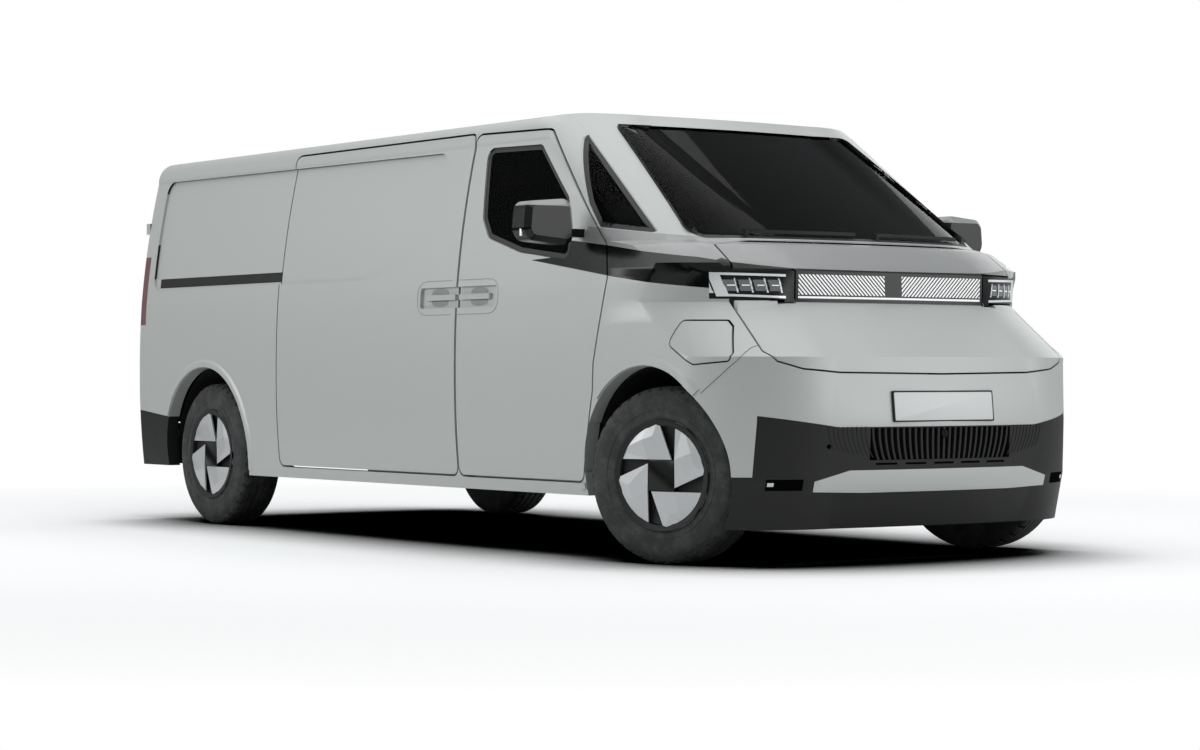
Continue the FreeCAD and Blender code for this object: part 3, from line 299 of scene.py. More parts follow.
def lined(mesh):
    """Gives the faces that look inwards the trim finish."""
    cab_x, load_x, middle_z, floor_z = 1.6, -2.0, 1.1, 0.42
    facing_inwards = -0.35
    mesh.normal_update()
    for face in mesh.faces:
        spot = face.calc_center_median()
        beyond = max(spot.x - cab_x, min(spot.x - load_x, 0))
        outwards = Vector((beyond, spot.y, spot.z - middle_z)).normalized()
        if face.normal.dot(outwards) < facing_inwards and spot.z > floor_z:
            face.material_index = on_trim
    return mesh


def finish_at(spot):
    """Finish of an outer face, by its middle."""
    x = spot.x - front_axle_x
    if (x < band_bottom[0][0] or spot.z > height_on(belt_top, max(x, belt_end_x))
            or spot.z < height_on(band_bottom, x)):
        return on_paint
    if spot.z <= height_on(belt_bottom, x):
        return on_band
    past_end = (x - belt_end_x) * belt_end_normal[0] + (spot.z - belt_end_z) * belt_end_normal[2]
    return on_belt if past_end > 0 else on_paint


def coloured_panel(node):
    """Panel whose belt and band take their own finishes."""
    mesh = lined(copied(node))
    for line in (belt_top, belt_bottom, band_bottom):
        for (x0, z0), (x1, z1) in zip(line, line[1:]):
            split(mesh, (front_axle_x + x0, 0, z0), (z0 - z1, 0, x1 - x0))
    split(mesh, (front_axle_x + belt_end_x, 0, belt_end_z), belt_end_normal)
    for face in mesh.faces:
        if face.material_index != on_trim:
            face.material_index = finish_at(face.calc_center_median())
    return mesh


for node in ("side_wall_left", "side_wall_right", "front_door_left", "front_door_right", "bonnet"):
    dressed(coloured_panel(node), node, "panel", painted_skins)
for node in ("sliding_door", "rear_door_left", "rear_door_right", "roof"):
    dressed(lined(copied(node)), node, "panel", painted_skins)
for node in ("front_bumper", "charge_flap"):
    dressed(copied(node), node, "panel", (paint,))

# Windows: toughened and laminated glass, dark tinted, with a rubber lip and a black printed
# edge that hides the glue.
tint, tree, spot = finish_material("dark_tinted_glass")
# Body tint soaks up some of the light, and the float surface is near perfect.
clear = add(tree, "ShaderNodeBsdfTransparent", {"Color": linear("#f6f8f8")})
gloss = add(tree, "ShaderNodeBsdfPrincipled",
            {"Base Color": linear("#060707"), "Roughness": 0.03, "IOR": 1.4})
fresnel = add(tree, "ShaderNodeFresnel", {"IOR": 1.52}).outputs[0]
ended(tree, mixed(tree, ranged(tree, fresnel, 0.05, 1.0), clear, gloss))

# Extruded sealing rubber is matt with a faint bloom.
rubber_edge = uneven("extruded_rubber_seal", "#2a2b2c", (40, 5), (0.5, 0.72))


def printed_glass(node):
    """A pane with its outer face bordered by the seal."""
    print_breadth = 0.022
    screen_x, middle_z, facing_out = 1.0, 1.2, 0.45
    mesh = copied(node)
    mesh.normal_update()
    outward = []
    for face in mesh.faces:
        spot = face.calc_center_median()
        beyond = max(spot.x - screen_x, 0)
        away = Vector((beyond, spot.y, (spot.z - middle_z) * 0.5)).normalized()
        if face.normal.dot(away) > facing_out:
            outward.append(face)
    ring = bmesh.ops.inset_region(mesh, faces=outward, thickness=print_breadth, use_boundary=True,
                                  use_even_offset=True)
    for face in ring["faces"]:
        face.material_index = 1
    return mesh


for node in ("fixed_glass", "front_door_glass_left", "front_door_glass_right"):
    dressed(printed_glass(node), node, "pane", (tint, rubber_edge))

# Black mouldings: polypropylene with a fine grain, for the rear bumper, the slide rail, the
# wheel housings, the wipers and the charge socket.
grain, tree, spot = finish_material("grained_black_polypropylene")
# Fine leather grain from the mould, with uneven wear over it.
relief = bumped(tree, cells(tree, spot, 700), 0.25, 0.0004)
wear = ranged(tree, noise(tree, spot, 8, 4), 0.42, 0.6)
surfaced(tree, {"Base Color": linear("#1b1b1c"), "IOR": 1.35},
         [("Normal", relief), ("Roughness", wear)])
for node in ("rear_bumper", "slide_rail", "wheel_housings", "wipers", "charge_socket"):
    dressed(copied(node), node, "moulding", (grain,))

# Lower grille: curved upright slats in an opening, with fine ribs beside it, a round sensor in
# the middle and a reflector at each end. Near-black sheets of painted shade stand for the dark
# inside of the opening, for drain slots under it and for a side pocket at each end.
sheeting, tree, spot = finish_material("blank_reflective_plate")
# Glass beads under a clear film give a fine even grain.
beads = ranged(tree, cells(tree, spot, 900), 0.96, 1.02)
surfaced(tree, {"Roughness": 0.35}, [("Base Color", toned(tree, "#cfd1d1", beads))])

# Painted shade: a near-black matt sheet stands for the shadow inside the grille's recesses.
black = uneven("painted_shade_black", "#050505", (400, 2), (0.85, 1.0), {"IOR": 1.05})


def surface_of(node):
    """Search tree over a CAD node's surface."""
    mesh = bmesh.new()
    mesh.from_mesh(frame["nodes"][node].data)
    tree = BVHTree.FromBMesh(mesh)
    mesh.free()
    return tree


def met_ahead(surface, y, z):
    """First point met from ahead of the van, or nothing."""
    return surface.ray_cast(Vector((far_off, y, z)), backwards)[0]


def plate(extent_y, extent_z, steps_y, steps_z):
    """Upright grid in the YZ plane, as broad and high as given."""
    (left, right), (low, high) = extent_y, extent_z
    mesh = bmesh.new()
    bmesh.ops.create_grid(mesh, x_segments=steps_z, y_segments=steps_y, size=0.5)
    quarter_turned(mesh, mesh.verts, -1)
    bmesh.ops.scale(mesh, verts=mesh.verts, vec=(1, right - left, high - low))
    bmesh.ops.translate(mesh, verts=mesh.verts, vec=(0, (left + right) / 2, (low + high) / 2))
    return mesh


def faced_out(mesh):
    """Turns every face outwards."""
    bmesh.ops.recalc_face_normals(mesh, faces=mesh.faces)
    return mesh


def quarter_turned(mesh, verts, turn):
    """Turns corners by a number of quarters about the Y axis."""
    quarter = Matrix.Rotation(turn * math.pi / 2, 3, "Y")
    bmesh.ops.rotate(mesh, verts=verts, cent=(0, 0, 0), matrix=quarter)


def doubled(mesh):
    """Extrudes every face where it lies, and gives the new corners."""
    out = bmesh.ops.extrude_face_region(mesh, geom=mesh.faces[:])
    return [item for item in out["geom"] if isinstance(item, bmesh.types.BMVert)]


def thickened(mesh, depth, way=backwards):
    """Closes a sheet into a body that reaches back by a depth."""
    bmesh.ops.translate(mesh, verts=doubled(mesh), vec=way * depth)
    return faced_out(mesh)


def joined(parts):
    """One mesh of several."""
    mesh = bmesh.new()
    for part in parts:
        data = bpy.data.meshes.new("part")
        part.to_mesh(data)
        part.free()
        mesh.from_mesh(data)
        bpy.data.meshes.remove(data)
    return mesh


opening_half, opening_low, opening_high = 0.372, 0.415, 0.540
field_half, field_x = 0.500, 2.3
face_low, face_high = 0.408, 0.550
grille_surface = surface_of("lower_grille")
insert_surface = surface_of("front_bumper")


def grille_x(y, z):
    """Where the grille's face lies, from above and below the opening."""
    upper, lower = (met_ahead(grille_surface, y, rise) or met_ahead(insert_surface, y, rise)
                    for rise in (face_high, face_low))
    return lower.x + (upper.x - lower.x) * (z - face_low) / (face_high - face_low)


def laid(mesh, sunk, depth):
    """Lays a sheet along the grille's face, sunk into it, and gives it depth."""
    for vert in mesh.verts:
        vert.co.x = grille_x(vert.co.y, vert.co.z) - sunk
    return thickened(mesh, depth)


def pressed_on(mesh, surface, stand, depth):
    """Presses a sheet back on to a surface, a little proud of it, and gives it depth."""
    for vert in mesh.verts:
        hit = met_ahead(surface, vert.co.y, vert.co.z)
        if hit is not None:
            vert.co.x = hit.x + stand
    return thickened(mesh, depth)


def bowed(mesh, start, high, tall, bow):
    """Moves a strip aside, with its foot drawn towards the middle."""
    for vert in mesh.verts:
        fall = (high - vert.co.z) / tall
        vert.co.y += start * (1 - bow * fall ** 2)
    return mesh


mesh = copied("lower_grille")
for point, normal in (((0, field_half, 0), (0, 1, 0)), ((0, -field_half, 0), (0, 1, 0)),
                      ((0, 0, opening_low), (0, 0, 1)), ((0, 0, opening_high), (0, 0, 1))):
    split(mesh, point, normal)
within = []
for face in mesh.faces:
    spot = face.calc_center_median()
    level = opening_low < spot.z < opening_high
    if abs(spot.y) < field_half and level and spot.x > field_x:
        within.append(face)
bmesh.ops.delete(mesh, geom=within, context="FACES")
dressed(mesh, "lower_grille", "moulding", (grain,))
for side, hand in sides:
    span = sorted((side * opening_half, side * field_half))
    cheek = laid(plate(span, (opening_low, opening_high), 8, 2), 0.0, 0.024)
    shown(cheek, f"grille_cheek_{hand}", (grain,))
# The opening's dark depth behind the slats is a near-black sheet of painted shade.
opening = plate((-opening_half, opening_half), (opening_low, opening_high), 40, 4)
shown(laid(opening, 0.024, 0.002), "grille_opening_shade", (black,))

slat_count, slat_half, slat_bow = 25, 0.0052, 0.085
slats = []
for index in range(slat_count):
    start = -opening_half + (index + 0.5) * 2 * opening_half / slat_count
    strip = plate((-slat_half, slat_half), (opening_low, opening_high), 1, 10)
    bowed(strip, start, opening_high, opening_high - opening_low, slat_bow)
    slats.append(laid(strip, 0.003, 0.019))
shown(joined(slats), "grille_slats", (grain,))

rib_count, rib_half, rib_pitch, rib_bow = 9, 0.0016, 0.021, 0.11
rib_low, rib_high, rib_tall = 0.425, 0.546, 0.13
ribs = []
for side, hand in sides:
    for index in range(rib_count):
        start = side * (opening_half + 0.024 + index * rib_pitch)
        strip = plate((-rib_half, rib_half), (rib_low + index * 0.004, rib_high), 1, 10)
        ribs.append(laid(bowed(strip, start, rib_high, rib_tall, rib_bow), -rib_half, 0.004))
shown(joined(ribs), "grille_ribs", (grain,))

# Drain slots drawn as near-black strips of painted shade on the grille's face.
drain_count, drain_pitch, drain_half = 5, 0.145, 0.052
drains = []
for index in range(drain_count):
    middle = (index - 2) * drain_pitch
    strip = plate((middle - drain_half, middle + drain_half), (0.396, 0.404), 8, 1)
    drains.append(laid(strip, -0.0006, 0.002))
shown(joined(drains), "grille_drain_slot_shade", (black,))

# Each side pocket is a near-black sheet of painted shade, with the reflector on it.
# Name, span from the middle, heights, steps across and up, how proud, and finish.
side_parts = (
    ("side_pocket", (0.66, 0.79), (0.302, 0.345), 10, 3, 0.0008, black),
    ("side_reflector", (0.765, 0.785), (0.318, 0.332), 3, 2, 0.0018, sheeting),
)
for side, hand in sides:
    for part, (inner, outer), rise, across, up, stand, finish in side_parts:
        mesh = plate(sorted((side * inner, side * outer)), rise, across, up)
        mesh = pressed_on(mesh, grille_surface, stand, 0.003)
        shown(mesh, f"{part}_{hand}", (finish,))

sensor_rise, sensor_depth, sensor_sunk = 0.515, 0.018, 0.0085
mesh = bmesh.new()
bmesh.ops.create_cone(mesh, cap_ends=True, segments=40, radius1=0.019, radius2=0.017,
                      depth=sensor_depth)
quarter_turned(mesh, mesh.verts, 1)
sensor_x = grille_x(0, sensor_rise) - sensor_sunk
bmesh.ops.translate(mesh, verts=mesh.verts, vec=(sensor_x, 0, sensor_rise))
shown(mesh, "grille_sensor", (piano,))

# Light bar: a gloss black acrylic strip across the nose, let into the bonnet, with a row of
# slanted light guides behind it on each side of a bare middle, over one thin straight guide.
# Frosted acrylic, with a faint painted glow that stands in for sky light through it from behind.
guide = uneven("white_acrylic_with_painted_glow", "#f4f5f5", (300, 2), (0.25, 0.4),
               {"Emission Color": linear("#f4f6f8"), "Emission Strength": 0.25})

guide_stand, guide_depth = 0.0015, 0.0035
dressed(copied("light_bar"), "light_bar", "lens", (piano,))
bar_surface = surface_of("light_bar")
guide_low, guide_high = 1.060, 1.140
guide_near, guide_far = 0.046, 0.487
guide_count, guide_lean = 23, 0.085
guide_pitch = (guide_far - guide_near) / guide_count
first_guide = guide_near - guide_lean
guide_normal = Vector((0, guide_high - guide_low, -guide_lean)).normalized()
for side, hand in sides:
    mesh = plate((guide_near, guide_far), (guide_low, guide_high), 4, 4)
    for index in range(guide_count + 6):
        for part in (0, 0.5):
            y = first_guide + (index + part) * guide_pitch
            split(mesh, (0, y, guide_low), guide_normal)
    gaps = []
    for face in mesh.faces:
        spot = face.calc_center_median()
        foot_y = spot.y - (spot.z - guide_low) * guide_lean / (guide_high - guide_low)
        if (foot_y - first_guide) / guide_pitch % 1 > 0.5:
            gaps.append(face)
    bmesh.ops.delete(mesh, geom=gaps, context="FACES")
    bmesh.ops.scale(mesh, verts=mesh.verts, vec=(1, side, 1))
    mesh = pressed_on(faced_out(mesh), bar_surface, guide_stand, guide_depth)
    shown(mesh, f"light_guides_{hand}", (guide,), "bonnet")
mesh = plate((-guide_far, guide_far), (1.046, 1.054), 40, 1)
mesh = pressed_on(mesh, bar_surface, guide_stand, guide_depth)
shown(mesh, "light_guide_line", (guide,), "bonnet")

# Headlamps: a black housing with a clear cover. A bright metallised bezel runs along the top
# and bottom and closes in a slanted block at the outer end, round four small lens modules.
# Vacuum-metallised plastic, slightly satin.
chrome = uneven("metallised_bezel", "#f1f2f3", (120, 3), (0.16, 0.28), {"Metallic": 0.3})

lens, tree, spot = finish_material("moulded_lens_module")
# Fluted clear lens over a dark cell.
flutes = blended(tree, ripples(tree, spot, 90, "Y"), "#2c2e30", "#8c9094")
surfaced(tree, {"Roughness": 0.12, "Coat Weight": 1}, [("Base Color", flutes)])

shown(copied("headlamps"), "headlamp_housings", (piano,), "body", ("headlamps",))
lamp_surface = surface_of("headlamps")
lamp_pivot = Vector((1.75, 0.40, 0))
lamp_inner_y = 0.508
lamp_line_rise = 1.09


def from_pivot(surface, way, height, side=1):
    """First point met from outside on a level line to the lamp pivot."""
    start = Vector((lamp_pivot.x, lamp_pivot.y * side, height)) + way * aside_off
    return surface.ray_cast(start, -way)[0]


# Points round the left lamp at one height, by the distance run from its inner end.
lamp_line = []
lamp_run = 0
for index in range(161):
    turn = math.radians(10 + index * 0.5)
    hit = from_pivot(lamp_surface, Vector((math.cos(turn), math.sin(turn), 0)), lamp_line_rise)
    if hit is not None and hit.y >= lamp_inner_y:
        lamp_run += (hit - lamp_line[-1][1]).length if lamp_line else 0
        lamp_line.append((lamp_run, hit))


def wrapped(mesh, side, stand, sunk):
    """Wraps a sheet, laid out by distance from the inner end, round the lamp."""
    for vert in mesh.verts:
        after = next((point for run, point in lamp_line if run >= vert.co.y), lamp_line[-1][1])
        way = Vector((after.x - lamp_pivot.x, after.y - lamp_pivot.y, 0)).normalized()
        hit = from_pivot(lamp_surface, way, vert.co.z) or after
        vert.co = hit + way * stand
    for vert in doubled(mesh):
        way = Vector((vert.co.x - lamp_pivot.x, vert.co.y - lamp_pivot.y, 0)).normalized()
        vert.co -= way * (stand + sunk)
    if side < 0:
        bmesh.ops.scale(mesh, verts=mesh.verts, vec=(1, -1, 1))
    return faced_out(mesh)


def leaned(mesh, base, slope):
    """Leans a sheet sideways by its height."""
    for vert in mesh.verts:
        vert.co.y += (vert.co.z - base) * slope
    return mesh


# Name, run from the inner end, heights, steps along and up, climb along and lean.
bezel = (
    ("top", (0.03, 0.35), (1.129, 1.1385), 24, 1, 0.02, 0.0),
    ("bottom", (0.03, 0.275), (1.044, 1.053), 24, 1, 0.03, 0.0),
    ("elbow", (0.262, 0.312), (1.0505, 1.143), 5, 8, 0.0, 0.42),
    ("block", (0.322, 0.362), (1.064, 1.144), 4, 6, 0.0, 0.42),
)
module_count, module_first, module_pitch = 4, 0.045, 0.060
# Name, run from the module's edge, heights, steps along and up, lean, how proud and finish.
module_parts = (
    ("module", (0, 0.052), (1.072, 1.116), 6, 6, 0.25, 0.0015, lens),
    ("fin", (0, 0.006), (1.066, 1.122), 2, 6, 0.25, 0.003, chrome),
    # The emitters take the guide's finish, with its faint painted glow.
    ("emitter", (0.014, 0.046), (1.0925, 1.0965), 6, 1, 0.0, 0.0035, guide),
)
for side, hand in sides:
    for part, run, rise, along, up, climb, slope in bezel:
        mesh = plate(run, rise, along, up)
        for vert in mesh.verts:
            vert.co.z += (vert.co.y - run[0]) * climb
        mesh = wrapped(leaned(mesh, rise[0], slope), side, 0.0025, 0.004)
        shown(mesh, f"lamp_bezel_{part}_{hand}", (chrome,), "body")
    for index in range(module_count):
        start = module_first + index * module_pitch
        for part, (near, far), rise, along, up, slope, stand, finish in module_parts:
            mesh = leaned(plate((start + near, start + far), rise, along, up), rise[0], slope)
            mesh = wrapped(mesh, side, stand, 0.003)
            shown(mesh, f"lamp_{part}_{index}_{hand}", (finish,), "body")

# Lamp aprons: below each lamp a thin painted sheet on the bonnet fills the corner between the
# lamp and the bonnet's edge, and goes up with it.
bonnet_surface = surface_of("bonnet")
apron_gap, apron_sunk, apron_thick = 0.0065, 0.0008, 0.002
apron_rows = 5
level_step = 0.001
lamp_top_rise = 1.12


def reach_of(point, side):
    """Level distance of a point from the lamp pivot."""
    return math.hypot(point.x - lamp_pivot.x, point.y - lamp_pivot.y * side)


def apron_ends(wall_surface, way, side):
    """The lamp's lower edge and the bonnet below it along one ray, or nothing."""
    levels = [from_pivot(lamp_surface, way, lamp_top_rise - step * level_step, side)
              for step in range(110)]
    lamp_hits = [point for point in levels if point is not None]
    if not lamp_hits:
        return None
    top = lamp_hits[-1]
    reach = reach_of(top, side)
    wall = from_pivot(wall_surface, way, top.z - 0.004, side)
    if wall is not None and reach_of(wall, side) > reach - 0.03:
        return None
    for step in range(8, 90):
        foot = from_pivot(bonnet_surface, way, top.z - step * level_step, side)
        if foot is not None and reach_of(foot, side) > reach - 0.01:
            return top - way * apron_sunk, foot - way * apron_sunk
    return None


for side, hand in sides:
    wall_surface = surface_of(f"side_wall_{hand}")
    mesh = bmesh.new()
    lines = []
    for index in range(141):
        turn = math.radians(12 + index * 0.25)
        ends = apron_ends(wall_surface, Vector((math.cos(turn), side * math.sin(turn), 0)), side)
        if ends is None:
            continue
        top, foot = ends
        edge = top.lerp(foot, apron_gap / (top.z - foot.z))
        heights = range(apron_rows + 1)
        lines.append([mesh.verts.new(edge.lerp(foot, step / apron_rows)) for step in heights])
    for left, right in zip(lines, lines[1:]):
        for step in range(apron_rows):
            mesh.faces.new((left[step], right[step], right[step + 1], left[step + 1]))
    thickened(mesh, apron_thick)
    shown(mesh, f"lamp_apron_{hand}", (paint,), "bonnet")

# Number plates: a blank board on its carrier, leaned with the bumper behind it, another low on
# the left rear door, and a black pull beside the joint on the right one.


def box(extent):
    """Closed box about its middle."""
    mesh = bmesh.new()
    bmesh.ops.create_cube(mesh, size=1)
    bmesh.ops.scale(mesh, verts=mesh.verts, vec=extent)
    return mesh


def rounded(mesh, edges, offset, segments):
    """Rounds edges over."""
    bmesh.ops.bevel(mesh, geom=edges, offset=offset, offset_type="OFFSET", segments=segments,
                    profile=0.5, affect="EDGES", material=-1)


def board(name, place, lean, extent, finish, body):
    """Board as thick, broad and high as given, leaned back."""
    mesh = box(extent)
    thick = extent[0]
    ends = [edge for edge in mesh.edges if abs(edge.verts[0].co.x - edge.verts[1].co.x) > thick / 2]
    rounded(mesh, ends, 0.006, 4)
    rounded(mesh, mesh.edges[:], 0.0006, 2)
    back = Matrix.Rotation(lean, 3, "Y")
    bmesh.ops.rotate(mesh, verts=mesh.verts, cent=(0, 0, 0), matrix=back)
    bmesh.ops.translate(mesh, verts=mesh.verts, vec=place)
    return shown(mesh, name, (finish,), body)


def met_behind(node, y, z):
    """Where a node's surface is first met from behind the van."""
    return surface_of(node).ray_cast(Vector((-far_off, y, z)), forwards)[0].x


plate_broad, plate_high = 0.520, 0.110
carrier_broad, carrier_high = 0.532, 0.122
front_rise, front_reach = 0.622, (0.572, 0.674)
plate_foot, plate_top = (met_ahead(insert_surface, 0, z) for z in front_reach)
front_lean = math.atan2(plate_top.x - plate_foot.x, plate_top.z - plate_foot.z)
front_x = (plate_top.x + plate_foot.x) / 2
board("front_plate_carrier", (front_x - 0.0059, 0, front_rise), front_lean,
      (0.012, carrier_broad, carrier_high), grain, "body")
board("front_plate", (front_x - 0.0012, 0, front_rise), front_lean,
      (0.003, plate_broad, plate_high), sheeting, "body")

rear_y, rear_rise = 0.40, 0.74
rear_x = met_behind("rear_door_left", rear_y, rear_rise)
board("rear_plate_carrier", (rear_x - 0.002, rear_y, rear_rise), 0,
      (0.008, carrier_broad, carrier_high), grain, "rear_door_left")
board("rear_plate", (rear_x - 0.006, rear_y, rear_rise), 0,
      (0.003, plate_broad, plate_high), sheeting, "rear_door_left")
pull_y, pull_rise = -0.11, 0.98
pull_x = met_behind("rear_door_right", pull_y, pull_rise)
board("rear_pull_mount", (pull_x - 0.0015, pull_y, pull_rise), 0, (0.006, 0.110, 0.055), grain,
      "rear_door_right")
board("rear_pull", (pull_x - 0.008, pull_y, pull_rise), 0, (0.012, 0.085, 0.026), piano,
      "rear_door_right")

# Wing seams and arch lips: a joint line, filled with sealing rubber, from the bonnet's corner
# down to each front arch, and a pressed lip with a wide chamfer round each of the four arches.
seam_radius, seam_steps = 0.0012, 8
seam_line = (
    (2.337, 0.765, 0.863), (2.329, 0.789, 0.856), (2.322, 0.811, 0.849),
    (2.322, 0.863, 0.813), (2.292, 0.891, 0.777), (2.259, 0.916, 0.74),
    (2.223, 0.939, 0.703), (2.189, 0.957, 0.67),
)


def bead_along(points, radius):
    """Round bead along a line of points."""
    mesh = bmesh.new()
    rings = []
    for index, point in enumerate(points):
        along = points[min(index + 1, len(points) - 1)] - points[max(index - 1, 0)]
        along.normalize()
        aside = along.cross(Vector((0, 0, 1))).normalized()
        upper = aside.cross(along)
        ring = []
        for step in range(6):
            turn = step * math.tau / 6
            out = (aside * math.cos(turn) + upper * math.sin(turn)) * radius
            ring.append(mesh.verts.new(point + out))
        rings.append(ring)
    for first, second in zip(rings, rings[1:]):
        for step in range(6):
            mesh.faces.new((first[step], first[step - 1], second[step - 1], second[step]))
    mesh.faces.new(rings[0])
    mesh.faces.new(list(reversed(rings[-1])))
    return faced_out(mesh)


lip_steps, lip_start, lip_sweep = 66, -12, 204
lip_sunk, lip_thick = 0.0004, 0.0015
lip_break = 0.06
# Breadth from the arch's edge, and how proud.
lip_section = ((0.0, 0.0), (0.002, 0.0070), (0.026, 0.0070), (0.040, 0.0))
wall_half = 0.88
arch_reach, reach_step = 0.34, 0.0025


def lip_points(wall_surface, side, hub, way):
    """The lip's section along one ray from the hub, or nothing where the wall ends."""
    inward = Vector((0, -side, 0))
    for step in range(100):
        reach = arch_reach + step * reach_step
        hit, facing = wall_surface.ray_cast(hub + way * reach, inward)[:2]
        if hit is None or abs(hit.y) < wall_half or abs(facing.y) < 0.5:
            continue
        points = []
        for inset, stand in lip_section:
            place = wall_surface.ray_cast(hub + way * (reach + 0.001 + inset), inward)[0]
            if place is None or abs(place.y) < wall_half:
                return None
            points.append(place + Vector((0, side * (stand - lip_sunk), 0)))
        return points
    return None


for side, hand in sides:
    wall_surface = surface_of(f"side_wall_{hand}")
    corners = [Vector((x, y * side, z)) for x, y, z in seam_line]
    spots = []
    for start, end in zip(corners, corners[1:]):
        for step in range(seam_steps):
            between = start.lerp(end, step / seam_steps)
            spots.append(wall_surface.find_nearest(between)[0])
    mesh = bead_along(spots, seam_radius)
    shown(mesh, f"wing_seam_{hand}", (rubber_edge,), "body")
    for end, axle_x in (("front", front_axle_x), ("rear", rear_axle_x)):
        hub = Vector((axle_x, side * aside_off, axle_rise))
        mesh = bmesh.new()
        lines = []
        for index in range(lip_steps + 1):
            turn = math.radians(lip_start + index * lip_sweep / lip_steps)
            way = Vector((math.cos(turn), 0, math.sin(turn)))
            points = lip_points(wall_surface, side, hub, way)
            lines.append([mesh.verts.new(point) for point in points] if points else None)
        for first, second in zip(lines, lines[1:]):
            if first and second and (first[0].co - second[0].co).length < lip_break:
                for row in range(len(lip_section) - 1):
                    corners = (first[row], second[row], second[row + 1], first[row + 1])
                    mesh.faces.new(corners)
        loose = [vert for vert in mesh.verts if not vert.link_faces]
        bmesh.ops.delete(mesh, geom=loose, context="VERTS")
        thickened(mesh, lip_thick, Vector((0, -side, 0)))
        shown(mesh, f"arch_lip_{end}_{hand}", (paint,), "body", (), 20)

# Handle surrounds: a pill-shaped dish line round the grip bars, one half on each door, drawn as a
# thin graphite bead of painted shade along the dish's edge, and a dark half round plate of painted
# shade for the hand well above and below each bar, on the pocket's floor.
door_gap_x, grip_rise = 0.5075, 1.079
dish_start, dish_end, dish_tall, dish_turn = 0.010, 0.318, 0.074, 0.085
dish_radius, dish_steps = 0.0016, 12
well_middle, well_half, well_steps = 0.155, 0.066, 16
well_stand, well_sunk = 0.0012, 0.002
# Straight edge over the grip's middle, and depth from there.
wells = ((0.0145, 0.026), (-0.0125, -0.026))


def met_beside(surface, side, x, z):
    """First point met from beside the van, or nothing."""
    return surface.ray_cast(Vector((x, side * aside_off, z)), Vector((0, -side, 0)))[0]


def dish_line(surface, side, way):
    """Points of half a pill outline on a door, from the joint round its far end."""
    turn_x = dish_end - dish_turn
    flat = [(dish_start + (turn_x - dish_start) * step / 6, dish_tall) for step in range(7)]
    bend = []
    for step in range(1, dish_steps):
        turn = math.pi / 2 - step * math.pi / dish_steps
        rise = math.copysign(abs(math.sin(turn)) ** 0.75, math.sin(turn)) * dish_tall
        bend.append((turn_x + dish_turn * abs(math.cos(turn)) ** 0.75, rise))
    outline = flat + bend + [(x, -rise) for x, rise in reversed(flat)]
    hits = (met_beside(surface, side, door_gap_x + way * x, grip_rise + rise)
            for x, rise in outline)
    return [hit for hit in hits if hit is not None]


def well_shade_plate(mesh, surface, side, middle, edge, deep):
    """Painted shade plate for a hand well on the pocket's floor; edge is its straight side's
    height.
    """
    outer, inner = [], []
    for step in range(well_steps + 1):
        turn = step * math.pi / well_steps
        rise = edge + deep * math.sin(turn) ** 0.6
        hit = met_beside(surface, side, middle - well_half * math.cos(turn), rise)
        outer.append(mesh.verts.new(hit + Vector((0, side * well_stand, 0))))
        inner.append(mesh.verts.new(hit - Vector((0, side * well_sunk, 0))))
    mesh.faces.new(outer)
    mesh.faces.new(list(reversed(inner)))
    for index in range(well_steps + 1):
        mesh.faces.new((outer[index], inner[index], inner[index - 1], outer[index - 1]))


for node, side, way in (("front_door_right", -1, 1), ("sliding_door", -1, -1),
                        ("front_door_left", 1, 1)):
    door_surface = surface_of(node)
    # The dish's shaded edge is painted as a thin graphite bead.
    mesh = bead_along(dish_line(door_surface, side, way), dish_radius)
    shown(mesh, f"handle_dish_shade_{node}", (belt,), body_of[node])
    # Each hand well is a dark plate of painted shade.
    mesh = bmesh.new()
    for edge, deep in wells:
        middle = door_gap_x + way * well_middle
        well_shade_plate(mesh, door_surface, side, middle, grip_rise + edge, deep)
    name = f"hand_wells_{node}"
    shown(faced_out(mesh), name, (belt,), body_of[node], (), 30)

# Tyres: rubber with four circumferential grooves, shoulder notches and a dusty sidewall. The
# front ones stand turned with the steering, as parked.
tread_rubber, tree, spot = finish_material("dusty_tyre_rubber")
# Road dust settles in uneven pale patches on the matt carbon-black rubber.
dust = blended(tree, noise(tree, spot, 14, 6, Roughness=0.7), "#262727", "#4a4a49", 0.45, 0.80)
relief = bumped(tree, noise(tree, spot, 500, 3), 0.3, 0.0006)
surfaced(tree, {"Roughness": 0.78}, [("Base Color", dust), ("Normal", relief)])

kingpin_y, kingpin_to_wheel = 0.800, 0.032
rear_wheel_y = 0.832
parked_turn = Matrix.Rotation(math.radians(19), 4, "Z")
half_turn = Matrix.Rotation(math.pi, 4, "Z")


def moved_to(*place):
    """Matrix that moves to a place."""
    return Matrix.Translation(place)


wheel_spots = {
    "front_left": moved_to(front_axle_x, kingpin_y, axle_rise) @ parked_turn
    @ moved_to(0, kingpin_to_wheel, 0),
    "front_right": moved_to(front_axle_x, -kingpin_y, axle_rise) @ parked_turn
    @ moved_to(0, -kingpin_to_wheel, 0) @ half_turn,
    "rear_left": moved_to(rear_axle_x, rear_wheel_y, axle_rise),
    "rear_right": moved_to(rear_axle_x, -rear_wheel_y, axle_rise) @ half_turn,
}
